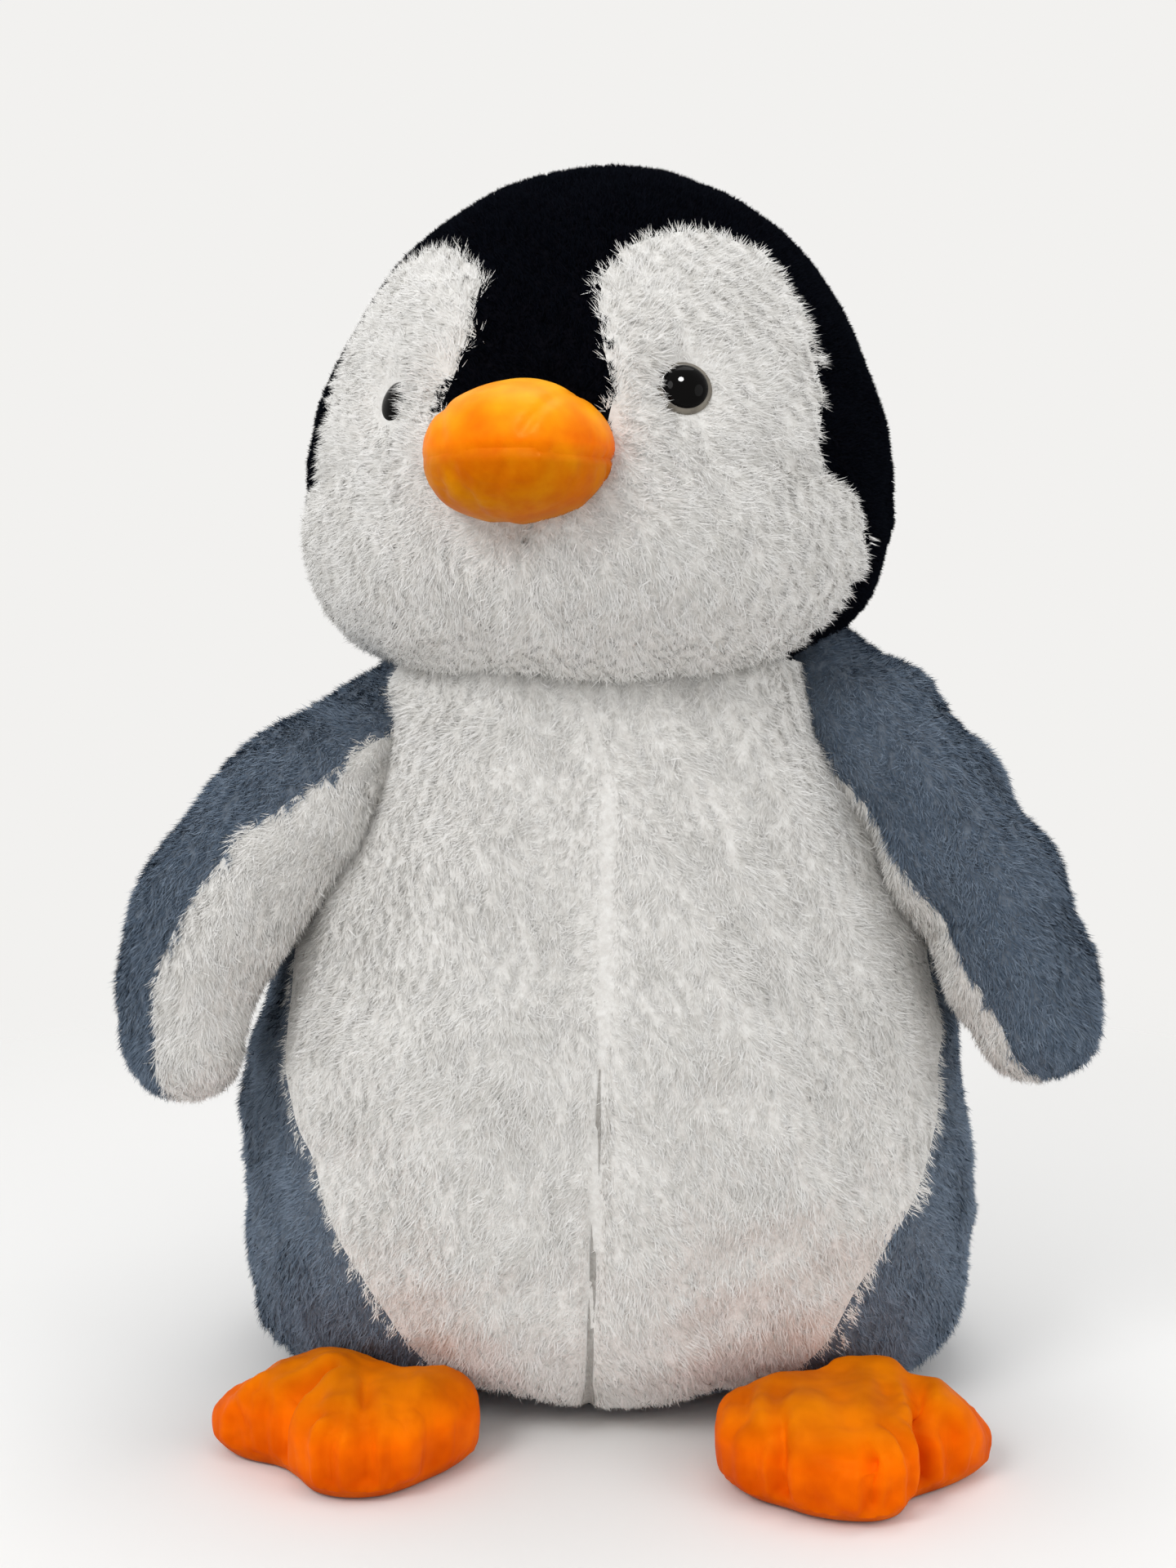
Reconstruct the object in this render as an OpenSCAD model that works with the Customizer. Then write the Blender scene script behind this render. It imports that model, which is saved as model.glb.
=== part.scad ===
// Plush penguin: sewn fabric panels over separate fillings, with a turning head,
// raising flippers, lifting feet and a lifting tail. Millimetres, +Z up, face towards -Y.
// Left and right are the penguin's own, so its left side is at +X.

/* [Body] */
// Width of the body over its fabric, at the widest height
body_w = 600; // [500:1:720]
// Depth of the body over its fabric, front to back
body_d = 456; // [400:1:560]
// Height of the widest part of the body above the floor
widest_z = 177; // [150:1:210]
// Height over which the sides would close below the widest part
bottom_drop = 190; // [185:1:230]
// Width of the shoulders at shoulder height
shoulder_w = 360; // [320:1:420]
// Depth of the shoulders at shoulder height
shoulder_d = 280; // [250:1:330]
// Height at which the shoulder sizes hold
shoulder_z = 600; // [580:1:640]

/* [Head] */
// Width of the head over its fabric
head_w = 462; // [400:1:490]
// Depth of the head over its fabric
head_d = 424; // [360:1:450]
// Height of the crown above the widest part of the head
head_top = 278; // [230:1:330]
// Depth of the chin below the widest part of the head
head_bottom = 144; // [120:1:148]
// How far the face is turned towards the right side at rest, in degrees
face_turn = 15.5; // [0:0.5:20]
// How far the crown leans to the left at rest, in degrees
head_tilt = 0; // [0:0.5:3]
// How far the crown leans back, as a slope
head_lean = 0.12; // [0:0.01:0.2]

/* [Neck] */
// Height of the point about which the head nods and turns
neck_pivot_z = 745; // [735:1:760]
// Radius of the hollow on the shoulders that the neck turns in
dish_r = 250; // [246:1:256]
// Play between the hollow and the neck cushion
neck_play = 1.6; // [1.2:0.1:3]

/* [Beak] */
// Width of the beak
beak_w = 138; // [110:1:160]
// Height of the beak above the mouth seam
beak_up = 58; // [45:1:70]
// Height of the beak below the mouth seam
beak_down = 46; // [36:1:56]
// How far the beak stands out from the face
beak_l = 84; // [60:1:100]

/* [Eyes] */
// Diameter of a safety eye
eye_d = 40; // [30:1:48]
// Height of its dome
eye_h = 13; // [9:1:18]
// Diameter of its post
post_d = 7; // [5:0.5:9]
// Length of its post behind the dome
post_l = 22; // [18:1:26]
// Diameter of the locking washer
washer_d = 30; // [24:1:34]

/* [Flippers] */
// Length of a flipper between its hinge and the centre of its tip
flipper_l = 228; // [190:1:274]
// Width of a flipper
flipper_w = 140; // [116:1:168]
// Thickness of a flipper
flipper_t = 102; // [80:1:110]
// Height of the shoulder hinges
hinge_z = 518; // [490:1:530]
// Place of the shoulder hinge round the body, in degrees from the front
hinge_round = 64; // [56:1:76]
// How far a flipper hangs out from the vertical, in degrees
hang = 30; // [26:1:40]

/* [Feet] */
// Width of a foot across its toes
foot_w = 212; // [170:1:256]
// Length of a foot
foot_l = 150; // [120:1:170]
// Thickness of a foot
foot_t = 74; // [56:1:84]
// Distance between the centres of the feet
foot_spread = 372; // [310:1:446]
// Outward turn of each foot, in degrees
foot_turn = 26; // [15:1:32]

/* [Tail] */
// Length of the tail behind its hinge
tail_l = 92; // [60:1:120]
// Width of the tail
tail_w = 120; // [90:1:150]
// Thickness of the tail at its root
tail_t = 52; // [40:1:60]
// Height of the tail's hinge
tail_z = 78; // [70:1:100]

/* [Fabric] */
// Thickness of the plush fabric without its pile
fabric_t = 4; // [3:0.5:5]
// Space between the fabric and the filling inside a limb
limb_play = 0.8; // [0.6:0.1:0.9]
// Space between the fabric and the filling inside the body and the head
fill_gap = 4.4; // [4:0.2:6]
// Space between two panels along a seam
seam_gap = 0.8; // [0.6:0.1:0.9]

/* [Hidden] */

fill_t = fabric_t + fill_gap;
limb_fill_t = fabric_t + limb_play;
plan_p = 2.3;
low_p = 4.3;
rise_p = 1.7;
body_y = -4;
pivot = [0, body_y, neck_pivot_z];
head_at = [-11, -15, neck_pivot_z - 27];

// ---- Helpers ----

function unit(v) = v / norm(v);
function signed_pow(b, e) = sign(b) * pow(abs(b), e);
function mix(a, b, f) = a + (b - a) * f;

// Outward normal of surface f(u, v) by small steps; flip turns it round
function normal_of(f, u, v, flip = 1) =
    let (du = 0.5, dv = 0.004)
    flip * unit(cross(f(u + du, v) - f(u - du, v), f(u, v + dv) - f(u, v - dv)));
// The surface point pushed in by t
function inset(f, u, v, t, flip = 1) = t == 0 ? f(u, v) : f(u, v) - t * normal_of(f, u, v, flip);

// A closed solid through rings of equal length. Poles close its ends with fans, and
// without them each end ring is closed across, as for a strip that doubles back.
module loft(rings, first_pole = undef, last_pole = undef, flip = false) {
    n = len(rings);
    m = len(rings[0]);
    fan = !is_undef(first_pole);
    points = concat([for (r = rings) each r], fan ? [first_pole, last_pole] : []);
    sides = [
        for (i = [0:n - 2], j = [0:m - 1])
            let (a = i * m + j, b = i * m + (j + 1) % m, c = a + m, d = b + m)
            each [[a, b, c], [b, d, c]]
    ];
    half = m / 2;
    caps = fan
        ? [for (j = [0:m - 1]) let (k = (j + 1) % m)
            each [[n * m, k, j], [n * m + 1, (n - 1) * m + j, (n - 1) * m + k]]]
        : [for (j = [0:half - 2])
            let (p = m - 1 - j, e = (n - 1) * m)
            each [
                [j, p, j + 1], [j + 1, p, p - 1],
                [e + j, e + j + 1, e + p], [e + j + 1, e + p - 1, e + p]
            ]];
    faces = concat(sides, caps);
    polyhedron(points, flip ? faces : [for (f = faces) [f[2], f[1], f[0]]]);
}

// One fabric panel of surface f: rows vs, across from lo(v) to hi(v) in cols steps
module panel(f, vs, lo, hi, cols, flip = 1) {
    rings = [
        for (v = vs)
            let (us = [for (j = [0:cols]) mix(lo(v), hi(v), j / cols)])
            concat(
                [for (j = [0:cols]) inset(f, us[j], v, 0, flip)],
                [for (j = [cols:-1:0]) inset(f, us[j], v, fabric_t, flip)]
            )
    ];
    loft(rings, flip = flip < 0);
}

// ---- Body surface ----

function low_share(z) = pow(1 - pow((widest_z - z) / bottom_drop, low_p), 1 / low_p);
function rise_share(z) = pow((z - widest_z) / (shoulder_z - widest_z), rise_p);
function size_at(z, wide, narrow) =
    z < widest_z ? wide * low_share(z) : wide - (wide - narrow) * rise_share(z);
function body_at(round, z) = [
    size_at(z, body_w, shoulder_w) / 2 * signed_pow(sin(round), 2 / plan_p),
    body_y - size_at(z, body_d, shoulder_d) / 2 * signed_pow(cos(round), 2 / plan_p),
    z
];
// Distance along way of a hinge at height z that keeps r away from the body's side
function hinge_reach(way, z, r) =
    max([
        for (h = [-1:0.1:1], a = [0:3:180])
            if (z + h * r > 0 && z + h * r < shoulder_z)
                body_at(a, z + h * r) * way + r * sqrt(1 - h * h)
    ]);
// Height at which the body's side meets the hollow for the neck
rim_r = dish_r + 3;
function rim_z(round, low = 440, high = 640, steps = 16) =
    let (z = (low + high) / 2)
    steps == 0 ? z
    : norm(body_at(round, z) - pivot) > rim_r ? rim_z(round, z, high, steps - 1)
    : rim_z(round, low, z, steps - 1);

base_gap = 0.5;
skin_z = fabric_t + base_gap;
row_p = 1.6;
rows = 18;
body_surface = function (round, v)
    body_at(round, skin_z + (rim_z(round) - skin_z) * pow(max(v, 0), row_p));
first_v = 0.005;
body_rows = [for (i = [0:rows]) max(i / rows, first_v)];
side_rim = rim_z(90);
// Edge of the white belly, in degrees round from the front, by height
belly_edge_at = [
    [16, 1.2], [34, 15], [56, 22], [78, 28], [122, 36], [168, 44], [219, 52], [260, 58],
    [300, 63], [360, 66], [600, 66]
];
function belly_edge(v) = lookup(skin_z + (side_rim - skin_z) * pow(v, row_p), belly_edge_at);
seam_turn = asin(seam_gap / 2 / (shoulder_w / 2));
belly_first_row = 2;

module belly_left() {
    color("ghostwhite")
    panel(
        body_surface, [for (i = [belly_first_row:rows]) body_rows[i]],
        function (v) seam_turn, function (v) max(belly_edge(v) - seam_turn, 3 * seam_turn), 7
    );
}
module belly_right() { mirror([1, 0, 0]) belly_left(); }

module back_left() {
    color("slategray")
    panel(
        body_surface, body_rows,
        function (v) v < (belly_first_row - 0.5) / rows ? seam_turn : belly_edge(v) + seam_turn,
        function (v) 180 - seam_turn, 13
    );
}
module back_right() { mirror([1, 0, 0]) back_left(); }

module base_panel() {
    color("slategray")
    linear_extrude(fabric_t)
    polygon([for (a = [0:6:354]) let (p = body_at(a, skin_z)) [p[0], p[1]]]);
}

module torso_stuffing() {
    turn = 10;
    rounds = [0:turn:359];
    base_share = 0.92;
    dish_rings = 7;
    base = [for (a = rounds) let (p = body_at(a, 0)) [p[0] * base_share, p[1] * base_share, skin_z]];
    walls = [for (v = body_rows) [for (a = rounds) inset(body_surface, a, v, fill_t)]];
    dish = [
        for (k = [1:dish_rings - 1])
            [for (a = rounds)
                let (
                    d = unit(body_at(a, rim_z(a)) - pivot),
                    down = acos(-d[2]) * (1 - k / dish_rings),
                    side = unit([d[0], d[1], 0])
                )
                pivot + dish_r * (sin(down) * side - cos(down) * [0, 0, 1])]
    ];
    color("whitesmoke")
    loft(concat([base], walls, dish), [0, 0, skin_z], pivot - [0, 0, dish_r]);
}

// ---- Neck ----

neck_seat = 0.6;
neck_top_z = head_at[2] - head_bottom - neck_seat;
module neck_stuffing() {
    color("whitesmoke")
    translate(pivot)
    rotate_extrude($fn = 96)
    intersection() {
        circle(dish_r - neck_play, $fn = 96);
        translate([0, -dish_r]) square([dish_r, dish_r + neck_top_z - pivot[2]]);
    }
}

// ---- Head surface ----
// up is the angle from the face over the crown, side the angle out towards an ear.

head_p = 2.2;
chin_p = 2.6;
function head_local(up, side) =
    let (
        d = [sin(side), -cos(side) * cos(up), cos(side) * sin(up)],
        wide = pow(abs(d[0]) / (head_w / 2), head_p),
        deep = pow(abs(d[1]) / (head_d / 2), head_p),
        flat = pow(wide + deep, 1 / head_p),
        tall = abs(d[2]) / (d[2] >= 0 ? head_top : head_bottom),
        p = d[2] >= 0 ? 2 : chin_p,
        q = d * pow(pow(flat, p) + pow(tall, p), -1 / p)
    )
    [q[0], q[1] + head_lean * q[2], q[2]];
// Surface with the steps of up in degrees and of side in radians, which keeps the steps alike
head_surface = function (up, side) head_local(up, side * 57.3);
module on_head() { translate(head_at) rotate([0, 0, -face_turn]) rotate([0, head_tilt, 0]) children(); }

head_step = 8;
// Half width of the black centre strip, by angle over the head
gusset_edge_at = [
    [12, 20], [20, 16], [28, 12], [36, 9.5], [44, 9], [52, 11], [60, 19], [68, 33], [76, 22],
    [92, 14], [120, 12], [228, 12], [252, 33]
];
// Edge of the black side panel, all round, from the nape below to the nape above
side_edge_at = [
    [-108, 33], [-84, 30], [-68, 44], [-60, 60], [-52, 66], [-36, 71], [-20, 73], [-4, 73],
    [4, 68], [12, 61], [20, 57], [36, 56], [52, 52], [60, 47], [68, 36], [76, 22], [92, 14],
    [120, 12], [228, 12], [252, 33]
];
half_seam = asin(seam_gap / 2 / (head_d / 2));
patch_low = 12;
patch_high = 68;
neck_hole = 68;

// A head panel between two edges that depend on up, drawn with rows in up
module head_panel(ups, lo, hi, cols) {
    f = function (side, up) head_local(up * 57.3, side);
    panel(f, [for (u = ups) u / 57.3], function (v) lo(v * 57.3), function (v) hi(v * 57.3), cols);
}

module head_gusset() {
    color("#101116")
    on_head()
    head_panel(
        [for (u = [patch_low:head_step:252]) u == patch_low ? u + 2 * half_seam : u],
        function (u) half_seam - lookup(u, gusset_edge_at),
        function (u) lookup(u, gusset_edge_at) - half_seam, 8
    );
}

module head_side() {
    turns = [for (u = [-108:head_step:251]) u];
    shares = [0, 0.25, 0.5, 0.75];
    f = head_surface;
    ring = function (share, t)
        [for (u = turns) inset(f, u, mix(lookup(u, side_edge_at) + half_seam, 90, share) / 57.3, t)];
    outer = [for (k = [3:-1:0]) ring(shares[k], 0)];
    inner = [for (k = [0:3]) ring(shares[k], fabric_t)];
    ear = head_local(0, 90);
    color("#101116")
    loft(concat(outer, inner), ear, ear - [fabric_t, 0, 0], flip = true);
}
module head_side_left() { on_head() head_side(); }
module head_side_right() { on_head() mirror([1, 0, 0]) head_side(); }

module eye_patch() {
    color("ghostwhite")
    difference() {
        head_panel(
            [for (u = [patch_low:head_step:patch_high]) u == patch_low ? u + 2 * half_seam : u],
            function (u) lookup(u, gusset_edge_at) + half_seam,
            function (u) lookup(u, side_edge_at) - half_seam, 5
        );
        at_eye() cylinder(h = 60, d = post_d + 1, center = true, $fn = 32);
    }
}
module eye_patch_left() { on_head() eye_patch(); }
module eye_patch_right() { on_head() mirror([1, 0, 0]) eye_patch(); }

module cheek() {
    color("ghostwhite")
    head_panel(
        [for (u = [-neck_hole:head_step:patch_low]) u],
        function (u) half_seam,
        function (u) lookup(u, side_edge_at) - half_seam, 8
    );
}
module cheek_left() { on_head() cheek(); }
module cheek_right() { on_head() mirror([1, 0, 0]) cheek(); }

// ---- Eyes ----

eye_up = 24;
eye_side = 29.5;
seat_gap = 0.5;
washer_t = 3;
washer_deep = fabric_t + 2.2;
// Puts its children at the left eye, with +Z pointing out of the head
module at_eye() {
    out = normal_of(head_surface, eye_up, eye_side / 57.3, -1);
    translate(head_local(eye_up, eye_side))
    rotate([0, acos(out[2]), atan2(out[1], out[0])])
    children();
}
module eye() {
    rim_h = 3;
    dome_r = (pow(eye_d / 2, 2) + pow(eye_h - rim_h, 2)) / (2 * (eye_h - rim_h));
    color("#1b1614")
    at_eye() translate([0, 0, seat_gap]) {
        cylinder(h = rim_h, d = eye_d, $fn = 48);
        translate([0, 0, rim_h]) intersection() {
            translate([0, 0, eye_h - rim_h - dome_r]) sphere(dome_r, $fn = 64);
            cylinder(h = eye_h, d = eye_d, $fn = 48);
        }
        translate([0, 0, -post_l]) cylinder(h = post_l, d = post_d, $fn = 32);
    }
}
module eye_left() { on_head() eye(); }
module eye_right() { on_head() mirror([1, 0, 0]) eye(); }

module eye_washer() {
    color("lightgray")
    at_eye() translate([0, 0, -washer_deep - washer_t]) difference() {
        cylinder(h = washer_t, d = washer_d, $fn = 48);
        translate([0, 0, -1]) cylinder(h = washer_t + 2, d = post_d + 0.4, $fn = 32);
    }
}
module eye_washer_left() { on_head() eye_washer(); }
module eye_washer_right() { on_head() mirror([1, 0, 0]) eye_washer(); }

module eye_pocket() {
    deep = post_l + 4;
    at_eye() translate([0, 0, -deep]) cylinder(h = deep + 20, d = washer_d + 3, $fn = 48);
}

module head_stuffing() {
    ups = [for (u = [-108:head_step:251]) u];
    sides = [for (s = [-80:8:80]) s];
    rings = [for (s = sides) [for (u = ups) inset(head_surface, u, s / 57.3, fill_t, -1)]];
    ear = head_local(0, 90) - [fill_t, 0, 0];
    color("whitesmoke")
    on_head() difference() {
        loft(rings, [-ear[0], ear[1], ear[2]], ear, flip = true);
        eye_pocket();
        mirror([1, 0, 0]) eye_pocket();
    }
}

// ---- Beak ----

beak_z = 30;
beak_gap = 0.6;
// The face's surface in front of a point across and up from the head's centre
function face_y(x, z) =
    let (
        tall = abs(z) / (z >= 0 ? head_top : head_bottom),
        p = z >= 0 ? 2 : chin_p,
        flat = pow(1 - pow(tall, p), 1 / p)
    )
    head_lean * z - head_d / 2 * pow(pow(flat, head_p) - pow(abs(x) / (head_w / 2), head_p), 1 / head_p);
function beak_at(a, f, t) =
    let (
        high = a <= 180 ? beak_up : beak_down,
        round = pow(1 - pow(f, 2.4), 1 / 2.2),
        x = (beak_w / 2 - t) * cos(a),
        z = beak_z + (high - t) * sin(a),
        root = face_y(x, z) - beak_gap
    )
    [x * round, mix(root, face_y(0, beak_z) - beak_l + t, f), mix(beak_z, z, round)];
beak_steps = [0, 0.2, 0.4, 0.58, 0.74, 0.87, 0.95, 0.99];
module beak_half(a0, a1) {
    cols = 12;
    rings = [
        for (f = beak_steps)
            concat(
                [for (j = [0:cols]) beak_at(mix(a0, a1, j / cols), f, 0)],
                [for (j = [cols:-1:0]) beak_at(mix(a0, a1, j / cols), f, fabric_t)]
            )
    ];
    color("darkorange") on_head() loft(rings);
}
lip = 0.5;
module beak_upper() { beak_half(lip, 180 - lip); }
module beak_lower() { beak_half(180 + lip, 360 - lip); }
module beak_stuffing() {
    rings = [for (f = beak_steps) [for (a = [0:15:345]) beak_at(a, f, fabric_t + 1.6)]];
    color("whitesmoke") on_head()
    loft(rings, [0, face_y(0, beak_z) - beak_gap - 5, beak_z], beak_at(0, 1, fabric_t + 1.6));
}

// ---- Flippers ----
// The middle line runs from the hinge to the tip. Its rounded root lies round the hinge.

// The root's rounded ends stand back from its hinge's cylinder by about root_back
root_back = 1.3;
flipper_gap = 0.8;
root_r = flipper_t / 2 * 0.8;
out_way = [sin(hinge_round), -cos(hinge_round), 0];
hinge_way = [cos(hinge_round), sin(hinge_round), 0];
hinge_out = hinge_reach(out_way, hinge_z, root_r + flipper_gap - root_back);
hinge_touch = body_at(hinge_round, hinge_z);
hinge_at = hinge_touch + out_way * (hinge_out - hinge_touch * out_way);
tip_at = hinge_at + flipper_l * (sin(hang) * out_way - cos(hang) * [0, 0, 1]);
bow = 10;
middle_at = (hinge_at + tip_at) / 2 + bow * out_way;
tip_r = flipper_t / 2 * 0.86;
root_end = 0.18;
tip_end = 0.78;
function flipper_line(f) =
    let (g = max(0, min(1, f)))
    (1 - g) * (1 - g) * hinge_at + 2 * g * (1 - g) * middle_at + g * g * tip_at;
function flipper_way(f) =
    let (g = max(0, min(1, f)))
    unit((1 - g) * (middle_at - hinge_at) + g * (tip_at - middle_at));
flipper_surface = function (a, v)
    let (
        f = (v - root_end) / (tip_end - root_end),
        back = max(0, min(1, (root_end - v) / root_end)),
        front = max(0, min(1, (v - tip_end) / (1 - tip_end))),
        way = flipper_way(f),
        across = unit(hinge_way - (hinge_way * way) * way),
        thick = cross(across, way),
        swell = sin(180 * max(0, min(1, f))),
        end = back > 0 ? cos(90 * back) : cos(90 * front),
        half_t = mix(mix(root_r, tip_r, max(0, min(1, f))), flipper_t / 2, swell) * end,
        half_w = mix(mix(0.74, 0.8, max(0, min(1, f))), 1, swell) * flipper_w / 2 * pow(end, 0.75),
        past = back > 0 ? -root_r * sin(90 * back) : tip_r * 1.1 * sin(90 * front)
    )
    flipper_line(f) + past * way + half_w * cos(a) * across + half_t * sin(a) * thick;
flipper_rows = [
    0.03, 0.08, 0.13, 0.18, 0.26, 0.34, 0.43, 0.52, 0.61, 0.7, 0.78, 0.84, 0.9, 0.94, 0.97
];
// Where the two panels meet round a flipper: the palm lies inwards on the left one and
// is turned forwards on the right one
left_seam = -28;
right_seam = 44;
edge_turn = 0.5;
module flipper_half(seam) {
    panel(
        flipper_surface, flipper_rows,
        function (v) seam + edge_turn, function (v) seam + 180 - edge_turn, 10, flip = -1
    );
}
module flipper_fill(seam) {
    f = flipper_surface;
    turns = [for (a = [0:18:342]) seam + a];
    rings = [for (v = flipper_rows) [for (a = turns) inset(f, a, v, limb_fill_t, -1)]];
    first = hinge_at - (root_r - limb_fill_t) * flipper_way(0);
    last = tip_at + (tip_r * 1.1 - limb_fill_t) * flipper_way(1);
    color("whitesmoke") loft(rings, first, last, flip = true);
}
module flipper_left_outer() { color("slategray") flipper_half(left_seam + 180); }
module flipper_left_inner() { color("ghostwhite") flipper_half(left_seam); }
module flipper_left_stuffing() { flipper_fill(left_seam); }
module flipper_right_outer() { color("slategray") mirror([1, 0, 0]) flipper_half(right_seam + 180); }
module flipper_right_inner() { color("ghostwhite") mirror([1, 0, 0]) flipper_half(right_seam); }
module flipper_right_stuffing() { mirror([1, 0, 0]) flipper_fill(right_seam); }

// ---- Feet ----
// A foot is drawn round its own middle, toes forwards, then turned out and set against
// the body's widest outline. Its heel is round about the hinge.

// The rounded heel stands back from its hinge's cylinder by about heel_back
heel_back = 1;
foot_gap = 0.7;
foot_r = foot_t / 2;
foot_out = [sin(foot_turn), -cos(foot_turn), 0];
foot_side = [cos(foot_turn), sin(foot_turn), 0];
foot_reach = hinge_reach(foot_out, foot_r, foot_r + foot_gap - heel_back) - foot_r;
foot_heel = foot_out * foot_reach
    + foot_side * ((foot_spread / 2 - foot_out[0] * (foot_reach + foot_l / 2)) / foot_side[0]);
foot_mid = 0.47;
// Reach of the outline from the foot's middle: a round pad with three toes in front
function foot_outline(a) =
    let (
        half_w = foot_w / 2,
        front = foot_l * (1 - foot_mid),
        rear = foot_l * foot_mid,
        f = sin(a) > 0 ? front : rear,
        p = sin(a) > 0 ? 2 : 3.2,
        base = pow(pow(abs(cos(a)) / half_w, p) + pow(abs(sin(a)) / f, p), -1 / p),
        toes = 0.09 * exp(-pow((a - 90) / 16, 2)) + 0.02 * exp(-pow((a - 32) / 14, 2))
            + 0.02 * exp(-pow((a - 148) / 14, 2)) - 0.1 * exp(-pow((a - 60) / 11, 2))
            - 0.1 * exp(-pow((a - 120) / 11, 2)) - 0.05
    )
    base * (1 + (sin(a) > 0 ? toes : -0.05 * (1 + sin(a))));
foot_surface = function (a, v)
    let (
        dive = v * 180,
        out = signed_pow(sin(dive), 0.62) * foot_outline(a),
        across = out * cos(a),
        ahead = foot_l * foot_mid + out * sin(a),
        dome = cos(dive) > 0
            ? foot_r + foot_r * pow(cos(dive), 0.8)
            : max(0, foot_r + foot_r * 1.25 * cos(dive)),
        heel = sqrt(max(0, foot_r * foot_r - pow(max(0, foot_r - ahead), 2))),
        z = cos(dive) > 0 ? min(dome, foot_r + heel) : max(dome, foot_r - heel)
    )
    [across, ahead, z];
foot_turns = [for (a = [0:12:348]) a];
module on_foot() {
    translate([foot_heel[0], foot_heel[1], 0])
    rotate([0, 0, foot_turn])
    mirror([0, 1, 0])
    children();
}
// Half of the foot's skin, from the middle of one face out to the seam round its edge
module foot_shell(vs, pole_z, into) {
    f = foot_surface;
    outer = [for (v = vs) [for (a = foot_turns) f(a, v)]];
    inner = [for (k = [len(vs) - 1:-1:0]) [for (a = foot_turns) inset(f, a, vs[k], fabric_t, -1)]];
    pole = [0, foot_l * foot_mid, pole_z];
    loft(concat(outer, inner), pole, pole + [0, 0, into * fabric_t], flip = into < 0);
}
top_rows = [0.08, 0.18, 0.28, 0.37, 0.44, 0.498];
sole_rows = [for (k = [5:-1:0]) 1 - top_rows[k]];
module foot_top() { color("darkorange") on_foot() foot_shell(top_rows, foot_t, -1); }
module foot_sole() { color("darkorange") on_foot() foot_shell([for (k = [5:-1:0]) sole_rows[k]], 0, 1); }
module foot_fill() {
    f = foot_surface;
    rings = [
        for (v = concat(top_rows, sole_rows))
            [for (a = foot_turns) inset(f, a, v, limb_fill_t, -1)]
    ];
    middle = foot_l * foot_mid;
    color("whitesmoke") on_foot()
    loft(rings, [0, middle, foot_t - limb_fill_t], [0, middle, limb_fill_t], flip = true);
}
module foot_left_top() { foot_top(); }
module foot_left_sole() { foot_sole(); }
module foot_left_stuffing() { foot_fill(); }
module foot_right_top() { mirror([1, 0, 0]) foot_top(); }
module foot_right_sole() { mirror([1, 0, 0]) foot_sole(); }
module foot_right_stuffing() { mirror([1, 0, 0]) foot_fill(); }

// ---- Tail ----

tail_r = tail_t / 2;
tail_gap = 0.4;
tail_at = [0, hinge_reach([0, 1, 0], tail_z, tail_r + tail_gap), tail_z];
tail_drop = 24;
tail_root = 0.25;
tail_surface = function (a, v)
    let (
        back = max(0, min(1, (tail_root - v) / tail_root)),
        f = max(0, min(1, (v - tail_root) / (1 - tail_root))),
        way = [0, cos(tail_drop), -sin(tail_drop)],
        up = [0, sin(tail_drop), cos(tail_drop)],
        end = back > 0 ? cos(90 * back) : pow(max(0, 1 - pow(f, 2.2)), 0.5),
        half_t = mix(tail_r, tail_r * 0.6, f) * end,
        half_w = tail_w / 2 * pow(end, 0.8),
        past = back > 0 ? -tail_r * sin(90 * back) : tail_l * f
    )
    tail_at + past * way + half_w * cos(a) * [1, 0, 0] + half_t * sin(a) * up;
tail_rows = [0.04, 0.12, 0.2, 0.27, 0.4, 0.53, 0.66, 0.78, 0.88, 0.95];
module tail_half(seam) {
    panel(tail_surface, tail_rows, function (v) seam + 1.5, function (v) seam + 178.5, 8, flip = -1);
}
module tail_upper() { color("slategray") tail_half(0); }
module tail_lower() { color("slategray") tail_half(180); }
module tail_stuffing() {
    f = tail_surface;
    way = [0, cos(tail_drop), -sin(tail_drop)];
    rows_in = [for (v = tail_rows) if (v < 0.9) v];
    rings = [for (v = rows_in) [for (a = [0:22.5:359]) inset(f, a, v, limb_fill_t + 1, -1)]];
    color("whitesmoke")
    loft(rings, tail_at - (tail_r - limb_fill_t - 1) * way, tail_at + tail_l * 0.87 * way, flip = true);
}

belly_left();
belly_right();
back_left();
back_right();
base_panel();
torso_stuffing();
neck_stuffing();
head_gusset();
head_side_left();
head_side_right();
eye_patch_left();
eye_patch_right();
cheek_left();
cheek_right();
head_stuffing();
beak_upper();
beak_lower();
beak_stuffing();
eye_left();
eye_right();
eye_washer_left();
eye_washer_right();
flipper_left_outer();
flipper_left_inner();
flipper_left_stuffing();
flipper_right_outer();
flipper_right_inner();
flipper_right_stuffing();
foot_left_top();
foot_left_sole();
foot_left_stuffing();
foot_right_top();
foot_right_sole();
foot_right_stuffing();
tail_upper();
tail_lower();
tail_stuffing();
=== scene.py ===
import functools
import math

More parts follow.
